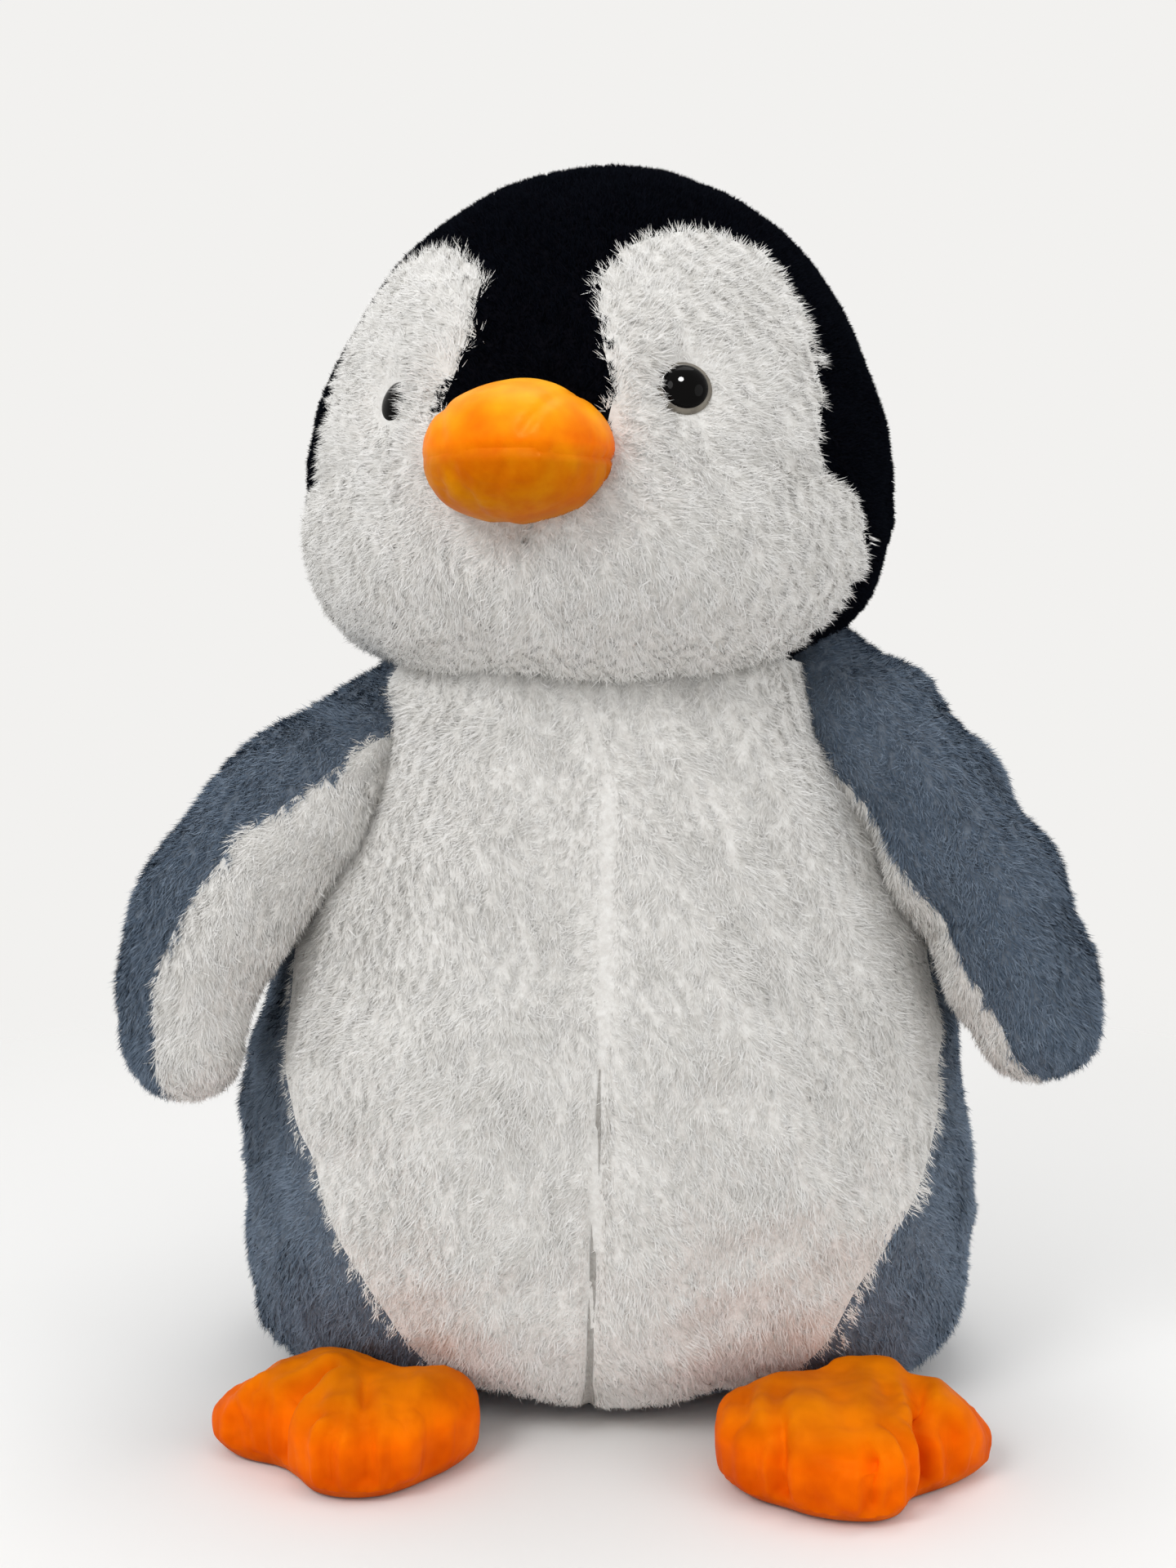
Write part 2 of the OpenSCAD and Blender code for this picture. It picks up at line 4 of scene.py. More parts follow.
import bpy
import numpy as np
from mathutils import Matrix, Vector


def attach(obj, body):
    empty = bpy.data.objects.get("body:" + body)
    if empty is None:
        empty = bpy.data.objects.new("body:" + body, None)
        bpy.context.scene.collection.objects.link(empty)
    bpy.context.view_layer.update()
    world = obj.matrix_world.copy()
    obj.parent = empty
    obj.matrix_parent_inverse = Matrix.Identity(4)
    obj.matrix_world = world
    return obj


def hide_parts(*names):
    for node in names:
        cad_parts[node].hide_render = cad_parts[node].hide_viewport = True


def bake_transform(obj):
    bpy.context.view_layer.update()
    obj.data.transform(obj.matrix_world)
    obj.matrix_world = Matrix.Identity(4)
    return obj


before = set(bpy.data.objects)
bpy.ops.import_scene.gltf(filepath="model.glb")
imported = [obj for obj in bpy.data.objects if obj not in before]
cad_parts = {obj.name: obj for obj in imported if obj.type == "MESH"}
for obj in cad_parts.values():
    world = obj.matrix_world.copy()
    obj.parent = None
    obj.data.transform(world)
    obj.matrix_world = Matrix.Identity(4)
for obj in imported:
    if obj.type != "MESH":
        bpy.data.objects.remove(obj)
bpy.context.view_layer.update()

# ------ helpers


def rad(a):
    return np.radians(np.asarray(a, float))


def spow(b, e):
    return np.sign(b) * np.abs(b) ** e


def mix(a, b, f):
    return a + (b - a) * f


def ease(x, a, b):
    t = np.clip((np.asarray(x, float) - a) / (b - a), 0, 1)
    return t * t * (3 - 2 * t)


def hump(x, width):
    """1 at 0, falling off over width."""
    return np.exp(-((x / width) ** 2))


def unit(v):
    v = np.asarray(v, float)
    return v / np.maximum(np.linalg.norm(v, axis=-1, keepdims=True), 1e-12)


def dot(a, b):
    return (np.asarray(a) * np.asarray(b)).sum(-1, keepdims=True)


class Waves:
    """Smooth repeatable noise from a few sine waves, about -1 to 1, and its slope."""

    def __init__(self, size, seed, count=9):
        r = np.random.default_rng(seed)
        way = unit(r.normal(size=(count, 3)))
        self.k = way * (2 * math.pi / size) * r.uniform(0.6, 1.5, (count, 1))
        self.p = r.uniform(0, 2 * math.pi, count)
        self.a = 1.3 / math.sqrt(count)

    def __call__(self, pts):
        return self.a * np.sin(pts @ self.k.T + self.p).sum(1)

    def slope(self, pts):
        return self.a * np.cos(pts @ self.k.T + self.p) @ self.k


def place(me, co):
    me.vertices.foreach_set("co", np.asarray(co, np.float32).ravel())
    me.update()


def new_mesh(name, co, faces, mats, face_mat=None, normals=None):
    """faces is a list of index arrays, each (n, 3) or (n, 4)."""
    me = bpy.data.meshes.new(name)
    co = np.asarray(co, np.float32)
    me.vertices.add(len(co))
    me.vertices.foreach_set("co", co.ravel())
    flat = np.concatenate([np.asarray(f).ravel() for f in faces]).astype(np.int32)
    sizes = np.concatenate([np.full(len(f), np.asarray(f).shape[1]) for f in faces])
    me.loops.add(len(flat))
    me.loops.foreach_set("vertex_index", flat)
    me.polygons.add(len(sizes))
    starts = np.concatenate([[0], np.cumsum(sizes)[:-1]])
    me.polygons.foreach_set("loop_start", starts.astype(np.int32))
    if face_mat is not None:
        me.polygons.foreach_set("material_index", np.asarray(face_mat, np.int32))
    me.update(calc_edges=True)
    me.polygons.foreach_set("use_smooth", np.full(len(sizes), True))
    for m in mats:
        me.materials.append(m)
    if normals is not None:
        me.normals_split_custom_set_from_vertices(np.asarray(normals, np.float32))
    ob = bpy.data.objects.new(name, me)
    bpy.context.collection.objects.link(ob)
    return ob


def grid_faces(rows, cols, closed=False, flip=False):
    i, j = np.meshgrid(np.arange(rows - 1), np.arange(cols if closed else cols - 1), indexing="ij")
    k = (j + 1) % cols
    f = np.stack([i * cols + j, i * cols + k, (i + 1) * cols + k, (i + 1) * cols + j], -1).reshape(-1, 4)
    return f[:, ::-1] if flip else f


def away(f, u, v, du, dv, centre):
    """Points of surface f and its normals, turned away from centre."""
    p = f(u, v)
    a, b = f(u + du, v) - f(u - du, v), f(u, v + dv) - f(u, v - dv)
    n = unit(np.cross(a, b))
    c = centre(p) if callable(centre) else centre
    return p, n * np.where(dot(n, p - c) < 0, -1.0, 1.0)


def scatter(f, us, vs, count, rng, du, dv, centre):
    """About count points spread evenly over the area of surface f, with normals."""
    u, v = rng.uniform(*us, count * 4), rng.uniform(*vs, count * 4)
    across, along = f(u + du, v) - f(u - du, v), f(u, v + dv) - f(u, v - dv)
    w = np.linalg.norm(np.cross(across, along), axis=1)
    keep = rng.uniform(0, 1, len(w)) * np.quantile(w, 0.97) < w
    u, v = u[keep][:count], v[keep][:count]
    return (u, v) + away(f, u, v, du, dv, centre)


# ------ materials

PAINTED_LIGHT_COVER = 0.65  # how far the painted light and shade by height covers the mottled colour


def add(tree, kind, **values):
    """A new shader node, with some of its inputs set by name."""
    node = tree.nodes.new("ShaderNode" + kind)
    for key, value in values.items():
        node.inputs[key.replace("_", " ")].default_value = value
    return node


def link(a, b):
    a.id_data.links.new(a, b)


def ramp(tree, fac, stops):
    """Colour read at fac from (place, colour) stops."""
    node = add(tree, "ValToRGB")
    marks = node.color_ramp.elements
    for i, (at, colour) in enumerate(stops):
        if 0 < i < len(stops) - 1:
            mark = marks.new(at)
        else:
            mark = marks[0 if i == 0 else -1]
            mark.position = at
        mark.color = (*colour, 1)
    link(fac, node.inputs["Fac"])
    return node.outputs["Color"]


def mixed(tree, kind, amount, low, high):
    """Colour low with an amount of colour high over it."""
    node = add(tree, "Mix")
    node.data_type = "RGBA"
    node.blend_type = kind
    node.inputs[0].default_value = amount
    link(low, node.inputs[6])
    link(high, node.inputs[7])
    return node.outputs[2]


def shader(
    name, colour, rough=0.9, sheen=0.0, sheen_rough=0.5, tint=(1, 1, 1), spec=0.3, spec_tint=(1, 1, 1)
):
    m = bpy.data.materials.new(name)
    m.use_nodes = True
    b = m.node_tree.nodes["Principled BSDF"]
    for key, value in (
        ("Base Color", (*colour, 1)), ("Roughness", rough),
        ("Sheen Weight", sheen), ("Sheen Roughness", sheen_rough), ("Sheen Tint", (*tint, 1)),
        ("Specular IOR Level", spec), ("Specular Tint", (*spec_tint, 1)),
    ):
        b.inputs[key].default_value = value
    return m, b


def patterned(
    name, dark, light, size, bump=0.4, deep=0.0015, rough=0.9, detail=6.0, blotch=None, painted_light_by_z=None, **kw
):
    """Fabric whose colour varies between two shades, with a fine napped surface.

    blotch is the size and colour of larger patches, painted_light_by_z is (height, colour) pairs of
    painted light and shade by height."""
    m, b = shader(name, light, rough, **kw)
    t = m.node_tree
    here = add(t, "TexCoord").outputs["Object"]

    def noise(grain, **values):
        n = add(t, "TexNoise", Scale=1 / grain, **values)
        link(here, n.inputs["Vector"])
        return n.outputs["Fac"]

    colour = ramp(t, noise(size, Detail=detail, Roughness=0.6), [(0.32, dark), (0.68, light)])
    # painted light and shade: a colour by height laid over the mottled colour
    if painted_light_by_z:
        low, high = painted_light_by_z[0][0], painted_light_by_z[-1][0]
        part = add(t, "SeparateXYZ")
        link(here, part.inputs[0])
        span = add(t, "MapRange", From_Min=low, From_Max=high)
        link(part.outputs["Z"], span.inputs["Value"])
        stops = [((z - low) / (high - low), c) for z, c in painted_light_by_z]
        colour = mixed(t, "MIX", PAINTED_LIGHT_COVER, colour, ramp(t, span.outputs["Result"], stops))
    if blotch:
        grain, stain = blotch
        patches = ramp(t, noise(grain), [(0.35, stain), (0.65, (1, 1, 1))])
        colour = mixed(t, "MULTIPLY", 1, colour, patches)
    link(colour, b.inputs["Base Color"])
    nap = add(t, "Bump", Strength=bump, Distance=deep)
    link(noise(deep, Detail=3), nap.inputs["Height"])
    link(nap.outputs["Normal"], b.inputs["Normal"])
    return m


def shades(name, low, high, count, **kw):
    """Plain shades of pile, from low to high."""
    return [
        shader(f"{name}_{i + 1}", [mix(a, c, i / (count - 1)) for a, c in zip(low, high)], 0.85, **kw)[0]
        for i in range(count)
    ]


WHITE = shades("white_pile", (0.60, 0.585, 0.55), (0.91, 0.90, 0.88), 7, spec=0.04)
GREY = shades("grey_pile", (0.085, 0.118, 0.166), (0.215, 0.268, 0.340), 6, spec=0.06)
BLACK = shades(
    "black_pile", (0.0007, 0.0009, 0.0018), (0.003, 0.0036, 0.006), 4,
    spec=0.0, sheen=0.010, tint=(0.7, 0.8, 1.0),
)
white_base = patterned("white_backing", (0.66, 0.64, 0.61), (0.82, 0.81, 0.785), 0.006, spec=0.1)
grey_base = patterned("grey_backing", (0.075, 0.095, 0.125), (0.15, 0.18, 0.22), 0.006, spec=0.1)
black_base = patterned("black_backing", (0.001, 0.001, 0.0015), (0.004, 0.004, 0.006), 0.004, spec=0.0)
velboa = {"bump": 0.12, "deep": 0.0011, "detail": 3, "sheen_rough": 0.4, "spec": 0.06}
beak_orange = patterned(
    "orange_velboa_beak", (0.78, 0.17, 0.001), (1.0, 0.36, 0.004), 0.022, rough=0.42,
    blotch=(0.035, (0.95, 0.70, 0.5)), sheen=0.01, tint=(1, 0.5, 0.1), spec_tint=(1, 0.7, 0.15),
    # painted light by height: painted shade darkens the lower half, a painted highlight turns the top
    # yellow; the middle band is the fabric's own red-orange
    painted_light_by_z=[
        (0.705, (0.36, 0.125, 0.0005)), (0.742, (0.47, 0.14, 0.0005)), (0.757, (0.95, 0.20, 0.001)),
        (0.782, (1.0, 0.40, 0.005)), (0.803, (1.0, 0.56, 0.030)),
    ],
    **velboa,
)
foot_orange = patterned(
    "orange_velboa_feet", (0.70, 0.065, 0.0003), (1.0, 0.20, 0.001), 0.04, rough=0.6,
    blotch=(0.04, (0.84, 0.80, 0.6)), sheen=0.015, tint=(1, 0.45, 0.05), spec_tint=(1, 0.6, 0.1),
    # painted light by height: painted shade darkens the bottom towards the floor, a painted sheen turns
    # the top ochre; between them is the fabric's own red-orange
    painted_light_by_z=[
        (0.0, (0.40, 0.085, 0.0002)), (0.016, (0.76, 0.10, 0.0003)),
        (0.042, (1.0, 0.155, 0.0004)), (0.073, (0.66, 0.20, 0.0006)),
    ],
    **velboa,
)
pupil_mat, _ = shader("eye_black_gloss", (0.0025, 0.0022, 0.0022), 0.04, spec=0.055)
iris_mat = patterned(
    "eye_taupe", (0.12, 0.105, 0.085), (0.21, 0.19, 0.155), 0.01, bump=0.05, rough=0.3, spec=0.25
)
washer_mat = patterned(
    "washer_plastic", (0.62, 0.62, 0.6), (0.74, 0.74, 0.73), 0.02, bump=0.1, rough=0.5
)
# painted shadow for the groove of the belly's centre seam
seam_shadow = patterned(
    "belly_seam_shadow", (0.30, 0.285, 0.265), (0.46, 0.445, 0.42), 0.004, bump=0.3, spec=0.1
)

# ------ body surface

pivot = np.array([0.0, -0.004, 0.745])
WIDEST = 0.177  # height of the widest part
BOTTOM_DROP = 0.190
SHOULDER_RISE = 0.423  # from the widest part to the shoulders
BODY_TOP = 0.58
FIRST_Z = 0.003  # height of the lowest ring of the body's skins
BACK_Y = -0.004  # middle of the body, front to back
PLAN = 2.3  # how square the body is from above
# size at the widest part and at the shoulders, and how full the bottom is
WIDE = (0.606, 0.372, 5.5)
DEEP = (0.456, 0.284, 3.0)


def share(z, p):
    """What is left of a size at height z below the widest part."""
    s = np.clip((WIDEST - z) / BOTTOM_DROP, 0, 0.9999)
    return (1 - s ** p) ** (1 / p)


def size_at(z, wide, narrow, p):
    rise = (np.clip(z - WIDEST, 0, None) / SHOULDER_RISE) ** 1.7
    return np.where(z < WIDEST, wide * share(z, p), wide - (wide - narrow) * rise)


body_lump = Waves(0.16, 3)
body_soft = Waves(0.06, 4)


def seam_x(z):
    """Where the belly's centre seam runs at height z."""
    heights = [0.028, 0.12, 0.29, 0.382, 0.497, 0.566]
    return np.interp(z, heights, [-0.020, -0.018, -0.012, -0.007, -0.004, -0.02])


def body_pt(a, z):
    """Point of the body at angle a in degrees, 0 in front, and height z."""
    r = rad(a)
    z = np.broadcast_to(np.asarray(z, float), np.shape(a)).astype(float)
    wide, deep = size_at(z, *WIDE), size_at(z, *DEEP)
    x = wide / 2 * spow(np.sin(r), 2 / PLAN)
    y = BACK_Y - deep / 2 * spow(np.cos(r), 2 / PLAN)
    p = np.stack([x, y, z], -1)
    flat = unit(np.stack([x, y - BACK_Y, np.zeros_like(x)], -1))
    low = ease(z, 0.0, 0.05)
    front = ease(np.cos(r), 0.2, 0.7)
    rear = ease(-np.cos(r), 0.2, 0.7)
    deep_low = 1 + 0.9 * (1 - ease(z, 0.24, 0.32))
    aside = x - seam_x(z)
    groove = 0.0045 * deep_low * hump(aside, 0.0055) * front + 0.006 * hump(x, 0.007) * rear
    ridge = 0.0018 * hump(aside, 0.022) * front * ease(z, 0.2, 0.32)
    chest = hump(z - 0.545 - 0.25 * np.abs(x + 0.03), 0.012) * front * ease(-x, -0.05, 0.08)
    lumps = 0.0012 + 0.0035 * body_lump(p) + 0.0012 * body_soft(p)
    off = lumps * low - groove + ridge - 0.003 * chest
    p = p + flat * off[..., None]
    lifted = np.minimum(2.4 * x ** 2, 0.015) * (1 - ease(np.abs(x), 0.15, 0.24))
    p[..., 2] += lifted * (1 - ease(z, 0.0, 0.10))
    return p


def dish(a):
    """Radius of the hollow under the head, about the pivot."""
    return 0.214 + 0.026 * np.sin(rad(a)) ** 2


def rim_z(a):
    """Height at which the body meets the hollow, by halving."""
    lo, hi = np.full(np.shape(a), 0.50), np.full(np.shape(a), 0.64)
    for _ in range(18):
        z = (lo + hi) / 2
        out = np.linalg.norm(body_pt(a, z) - pivot, axis=-1) > dish(a)
        lo, hi = np.where(out, z, lo), np.where(out, hi, z)
    return lo


rim_table = (np.arange(-180, 181, 3.0), rim_z(np.arange(-180, 181, 3.0)))


def rim(a):
    return np.interp((np.asarray(a) + 180) % 360 - 180, *rim_table)


# height in millimetres, and how far round the white belly reaches in degrees
BELLY = np.array([
    [0, 19], [16, 21], [34, 23], [56, 27], [78, 30], [122, 36], [168, 44], [219, 52], [260, 58],
    [300, 63], [360, 66], [600, 66],
])


def belly_edge(z):
    return np.interp(z * 1000, BELLY[:, 0], BELLY[:, 1])


def body_v(a, v):
    """Body surface with v from the floor, 0, to the rim, 1."""
    return body_pt(a, FIRST_Z + (rim(a) - FIRST_Z) * np.clip(v, 0, None) ** 1.5)


def skin(name, f, us, vs, mat, centre, body, nodes):
    """A base fabric panel on surface f: rows at vs, each over the values us(v)."""
    u = np.array([us(v) for v in vs])
    v = np.repeat(np.array(vs)[:, None], u.shape[1], 1)
    co = f(u.ravel(), v.ravel())
    faces = grid_faces(*u.shape)
    n = np.cross(co[faces[:, 1]] - co[faces[:, 0]], co[faces[:, 3]] - co[faces[:, 0]])
    c = centre(co[faces[:, 0]]) if callable(centre) else centre
    if ((n * (co[faces[:, 0]] - c)).sum(1)).sum() < 0:
        faces = faces[:, ::-1]
    finish_piece(new_mesh(name, co, [faces], [mat]), body, nodes)


def finish_piece(ob, body, nodes):
    """Attaches a piece to the body it moves with when that is given by name, or else bakes its place
    into its mesh, and hides the nodes it stands for.
    """
    if isinstance(body, str):
        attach(ob, body)
    else:
        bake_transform(ob)
    if nodes:
        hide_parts(*nodes)


CLOTH_STEPS = 20


def closed_copy(name, co, faces, voxel):
    """One closed evenly meshed skin, ready for the cloth."""
    ob = new_mesh(name, co, faces, [])
    rm = ob.modifiers.new("even", "REMESH")
    rm.mode = "VOXEL"
    rm.voxel_size = voxel
    dg = bpy.context.evaluated_depsgraph_get()
    me = bpy.data.meshes.new_from_object(ob.evaluated_get(dg))
    ob.modifiers.clear()
    old = ob.data
    ob.data = me
    bpy.data.meshes.remove(old)
    return ob


def points_of(me):
    co = np.empty(len(me.vertices) * 3, np.float32)
    me.vertices.foreach_get("co", co)
    return co.reshape(-1, 3).astype(float)


def inflate(ob, pins, grow, pressure, cap):
    """Swells a closed skin with the cloth simulation, its pinned seams held.

    No point moves further than cap."""
    start = points_of(ob.data)
    group = ob.vertex_groups.new(name="seams")
    group.add(np.where(pins)[0].tolist(), 1.0, "REPLACE")
    mod = ob.modifiers.new("stuffed", "CLOTH")
    c = mod.settings
    c.quality = 5
    c.mass = 0.15
    c.tension_stiffness = c.compression_stiffness = 12
    c.shear_stiffness = 4
    c.bending_stiffness = 0.05
    c.air_damping = 3
    c.use_pressure = True
    c.uniform_pressure_force = pressure
    c.shrink_min = -grow
    c.vertex_group_mass = "seams"
    c.effector_weights.gravity = 0
    mod.collision_settings.use_collision = False
    for k in range(1, CLOTH_STEPS + 1):
        bpy.context.scene.frame_set(k)
    dg = bpy.context.evaluated_depsgraph_get()
    moved = points_of(ob.evaluated_get(dg).data)
    ob.modifiers.remove(mod)
    bpy.context.scene.frame_set(1)
    step = moved - start
    far = np.linalg.norm(step, axis=1, keepdims=True)
    return start + step * np.minimum(1, cap / np.maximum(far, 1e-9))


def emboss(ob, co, off):
    """Moves the points of a skin along its normals."""
    place(ob.data, co)
    n = np.empty(len(co) * 3, np.float32)
    ob.data.vertex_normals.foreach_get("vector", n)
    return co + n.reshape(-1, 3) * off[:, None]


def face_centres(ob, co):
    return np.array([co[list(p.vertices)].mean(0) for p in ob.data.polygons])


def split_skin(ob, co, above, panels, mat, body):
    """Cuts a swollen skin into two padded panels, by a true or false value for each face."""
    fv = np.array([list(p.vertices) for p in ob.data.polygons])
    bpy.data.objects.remove(ob)
    for (name, nodes), chosen in zip(panels, (above, ~above)):
        f = fv[chosen]
        used, inv = np.unique(f.ravel(), return_inverse=True)
        panel = new_mesh(name, co[used], [inv.reshape(f.shape)], [mat])
        sub = panel.modifiers.new("smooth", "SUBSURF")
        sub.levels = sub.render_levels = 1
        finish_piece(panel, body, nodes)


def body_centre(p):
    c = p.copy()
    c[:, 0] *= 0.2
    c[:, 1] = BACK_Y
    return c


# ------ pile


ROLL = 24  # spread of how tufts turn about their own length, in degrees
DROOP = 0.55  # lift of a tuft's upper half as a share of the lower half's
UPRIGHT = 0.78  # how far a tuft is shaded as the surface under it
SINK = 0.0015  # how deep the roots lie under the skin


def pile(name, P, N, D, length, width, lift, mats, shade, body, seed):
    """Tapered tufts rooted at P, combed along D, each one triangle whose tip lies where a curved tuft's
    would end.
    """
    n = len(P)
    rng = np.random.default_rng(seed)
    D = unit(D - N * dot(D, N))
    l1 = np.clip(lift, 2, 88)
    l2 = l1 * DROOP
    T1, T2 = (np.cos(rad(x))[:, None] * D + np.sin(rad(x))[:, None] * N for x in (l1, l2))
    S = np.cross(D, N)
    r = rad(rng.normal(0, ROLL, n))[:, None]
    S1 = S * np.cos(r) + np.cross(T1, S) * np.sin(r)
    L, W = length[:, None], width[:, None]
    root = P - N * SINK
    mid = root + T1 * L * 0.5
    tip = mid + T2 * L * 0.5
    co = np.stack([root - S1 * W / 2, root + S1 * W / 2, tip], 1)
    side = np.cross(S1, tip - root)
    blade = unit(side)
    turned = (blade * N).sum(1) < 0
    nn = unit(N * UPRIGHT + np.where(turned[:, None], -blade, blade) * (1 - UPRIGHT))
    tris = np.arange(n)[:, None] * 3 + np.array([[0, 1, 2]])
    tris[turned] = tris[turned][:, ::-1]
    ob = new_mesh(name, co.reshape(-1, 3), [tris], mats, shade, np.repeat(nn, 3, axis=0))
    finish_piece(ob, body, ())


def pick(value, count, rng):
    """Shade numbers from a value about -1 to 1 with some scatter."""
    number = (value * 0.5 + 0.5) * (count - 1) + rng.normal(0, 1.5, len(value))
    return np.clip(number.round(), 0, count - 1).astype(int)


def grow(name, c, coat, value, mats, rng, body, seed):
    """Pile from the roots numbered c of a coat: place, normal, comb, length, width, lift."""
    pile(name, *(x[c] for x in coat), mats, pick(value, len(mats), rng), body, seed)


clump = Waves(0.016, 11, 14)
swirl = Waves(0.07, 12)
swirl2 = Waves(0.07, 13)
tone = Waves(0.03, 14)
AMOUNT = 1.0
THICKER = 1.0
LONG_SPREAD = 0.0018  # how much the length of tufts varies
PALE = 0.42  # how light the white pile is


def flecks(p):
    """Uneven lightness of a pile rooted at p."""
    return 0.3 * clump(p) + 0.12 * tone(p)


def to_side(P, axis, way):
    """The same direction for every root: way along one axis."""
    d = np.zeros_like(P)
    d[:, axis] = way
    return d


def comb(P, N, D, rng, wander=0.35, gather=0.0018, loose=0.4):
    """Direction with slow swirls, gathered into wisps."""
    out = D + np.cross(N, D) * (wander * swirl(P))[:, None]
    out = out + gather * clump.slope(P) + rng.normal(0, loose, P.shape)
    return unit(out - N * dot(out, N))


# ------ torso

rng = np.random.default_rng(20)
vs = np.linspace(0, 1, 60)
BELLY_FROM = 3  # first row of the belly; below it the back panels meet in front
SIDES = ((1, "left"), (-1, "right"))


def row_edge(v):
    """Where the belly ends on the row of skin points at v."""
    return belly_edge(FIRST_Z + (BODY_TOP - FIRST_Z) * v ** 1.5)


for side, tag in SIDES:
    skin(
        f"belly_{tag}_skin", body_v,
        lambda v: side * np.linspace(0.0, max(row_edge(v), 0.5), 40),
        vs[BELLY_FROM:], white_base, body_centre, "torso", [f"belly_{tag}"],
    )
    skin(
        f"back_{tag}_skin", body_v,
        lambda v: side * np.linspace(row_edge(v) if v >= vs[BELLY_FROM] else 0.0, 180, 70),
        vs, grey_base, body_centre, "torso", [f"back_{tag}"],
    )

count = int(350000 * AMOUNT)
a, z, P, N = scatter(body_pt, (-180, 180), (0.005, 0.62), count, rng, 0.4, 0.0015, body_centre)
keep = z < rim(a) + 0.002
a, z, P, N = a[keep], z[keep], P[keep], N[keep]
jag = 0.7 * clump(P) + 0.9 * swirl(P) + rng.normal(0, 0.45, len(P))
white = np.abs(a) < belly_edge(z) + jag
in_front = np.abs(a) < 60
high = z > 0.29  # the seam is wider open in the low half
sideways = np.array([1.0, 0, 0])
edge = hump(np.abs(a) - belly_edge(z), 6.0)
from_seam = P[:, 0] - seam_x(z)
near_seam = hump(from_seam, 0.016) * in_front
parted = near_seam[:, None] * (np.sign(from_seam) * np.where(high, 0.7, 1.5))[:, None] * sideways
bare = (np.abs(from_seam) < np.where(high, 0.0006, 0.0013)) & in_front
back_seam = hump(P[:, 0], 0.014) * (np.abs(a) > 120)
parted = parted + back_seam[:, None] * (np.sign(P[:, 0]) * 1.2)[:, None] * sideways
outward = to_side(P, 0, np.sign(P[:, 0])) * (0.2 + 0.2 * edge * white)[:, None]
D = comb(P, N, to_side(P, 2, -1) + outward + parted, rng, 0.4)
L = rng.normal(0.0098, LONG_SPREAD, len(P)) * (1 - 0.35 * near_seam - 0.3 * back_seam)
L *= 1 + 0.12 * swirl2(P)
L[~white] *= 0.92
L *= (0.5 + 0.5 * ease(z, 0.0, 0.03)) * (1 - 0.25 * edge)
W = rng.uniform(0.0008, 0.0015, len(P)) * THICKER
lift = rng.normal(44, 11, len(P)) + 6 * clump(P)
for name, region, mats in (("belly", white, WHITE), ("back", ~white, GREY)):
    for tag, half in (("left", a > 0), ("right", a <= 0)):
        c = np.where(region & half & ~bare)[0]
        shaded = (np.abs(from_seam[c]) < 0.004) * (z[c] < 0.035) * in_front[c]
        # the grey pile is lighter low down and darker higher up, towards the head: painted shade
        light = PALE if mats is WHITE else 0.25 - 0.5 * ease(z[c], 0.2, 0.45)
        v = flecks(P[c]) - 1.6 * shaded + light
        grow(f"{name}_{tag}_pile", c, (P, N, D, L, W, lift), v, mats, rng, "torso", seed=1)

# darker strip down the low half of the centre seam: painted shadow in the seam's groove
zs = np.linspace(0.008, 0.300, 60)
mid = np.degrees(np.arcsin(spow(seam_x(zs) / (size_at(zs, *WIDE) / 2), PLAN / 2)))
width = np.interp(zs, [0.008, 0.03, 0.05, 0.25, 0.30], [1.4, 1.2, 0.6, 0.5, 0.1])
half = np.degrees(0.0019 / 0.303) * 1.6 * width
rows = [body_pt(mid + half * k, zs) - [0, 0.0014, 0] for k in (-1, 0, 1)]
ob = new_mesh("belly_seam_shadow", np.stack(rows, 1).reshape(-1, 3), [grid_faces(60, 3)], [seam_shadow])
finish_piece(ob, "torso", ())

# hollow top of the torso under the neck, and the flat base
ROUND = 96  # points in a ring
rounds = np.linspace(-180, 180, ROUND + 1)[:-1]
edge_p = body_pt(rounds, rim(rounds))
d = unit(edge_p - pivot)
polar = np.degrees(np.arccos(-d[:, 2]))
rings = []
for k in np.linspace(0, 1, 14):
    t = rad(polar * (1 - k))
    s = unit(d * [1, 1, 0])
    reach = mix(dish(rounds), 0.195, ease(k, 0, 0.6))[:, None]
    rings.append(pivot + reach * (np.sin(t)[:, None] * s - np.cos(t)[:, None] * [0, 0, 1]))
ob = new_mesh("torso_top_skin", np.concatenate(rings), [grid_faces(14, ROUND, True)], [grey_base])
finish_piece(ob, "torso", ["torso_stuffing"])
ring = body_pt(rounds, np.full(ROUND, FIRST_Z))
BASE_Z, BASE_FLAT = 0.001, 0.75  # height of the flat part, and its share of the base
rings = []
for k in (1, 0.97, 0.93, 0.88, 0.82, 0.75, 0.35, 0.02):
    bent = max(0, (k - BASE_FLAT) / (1 - BASE_FLAT)) ** 2
    y = BACK_Y + (ring[:, 1] - BACK_Y) * k
    rings.append(np.column_stack([ring[:, 0] * k, y, BASE_Z + (ring[:, 2] - BASE_Z) * bent]))
ob = new_mesh("base_skin", np.concatenate(rings), [grid_faces(8, ROUND, True, True)], [grey_base])
finish_piece(ob, "torso", ["base_panel"])

# ------ head

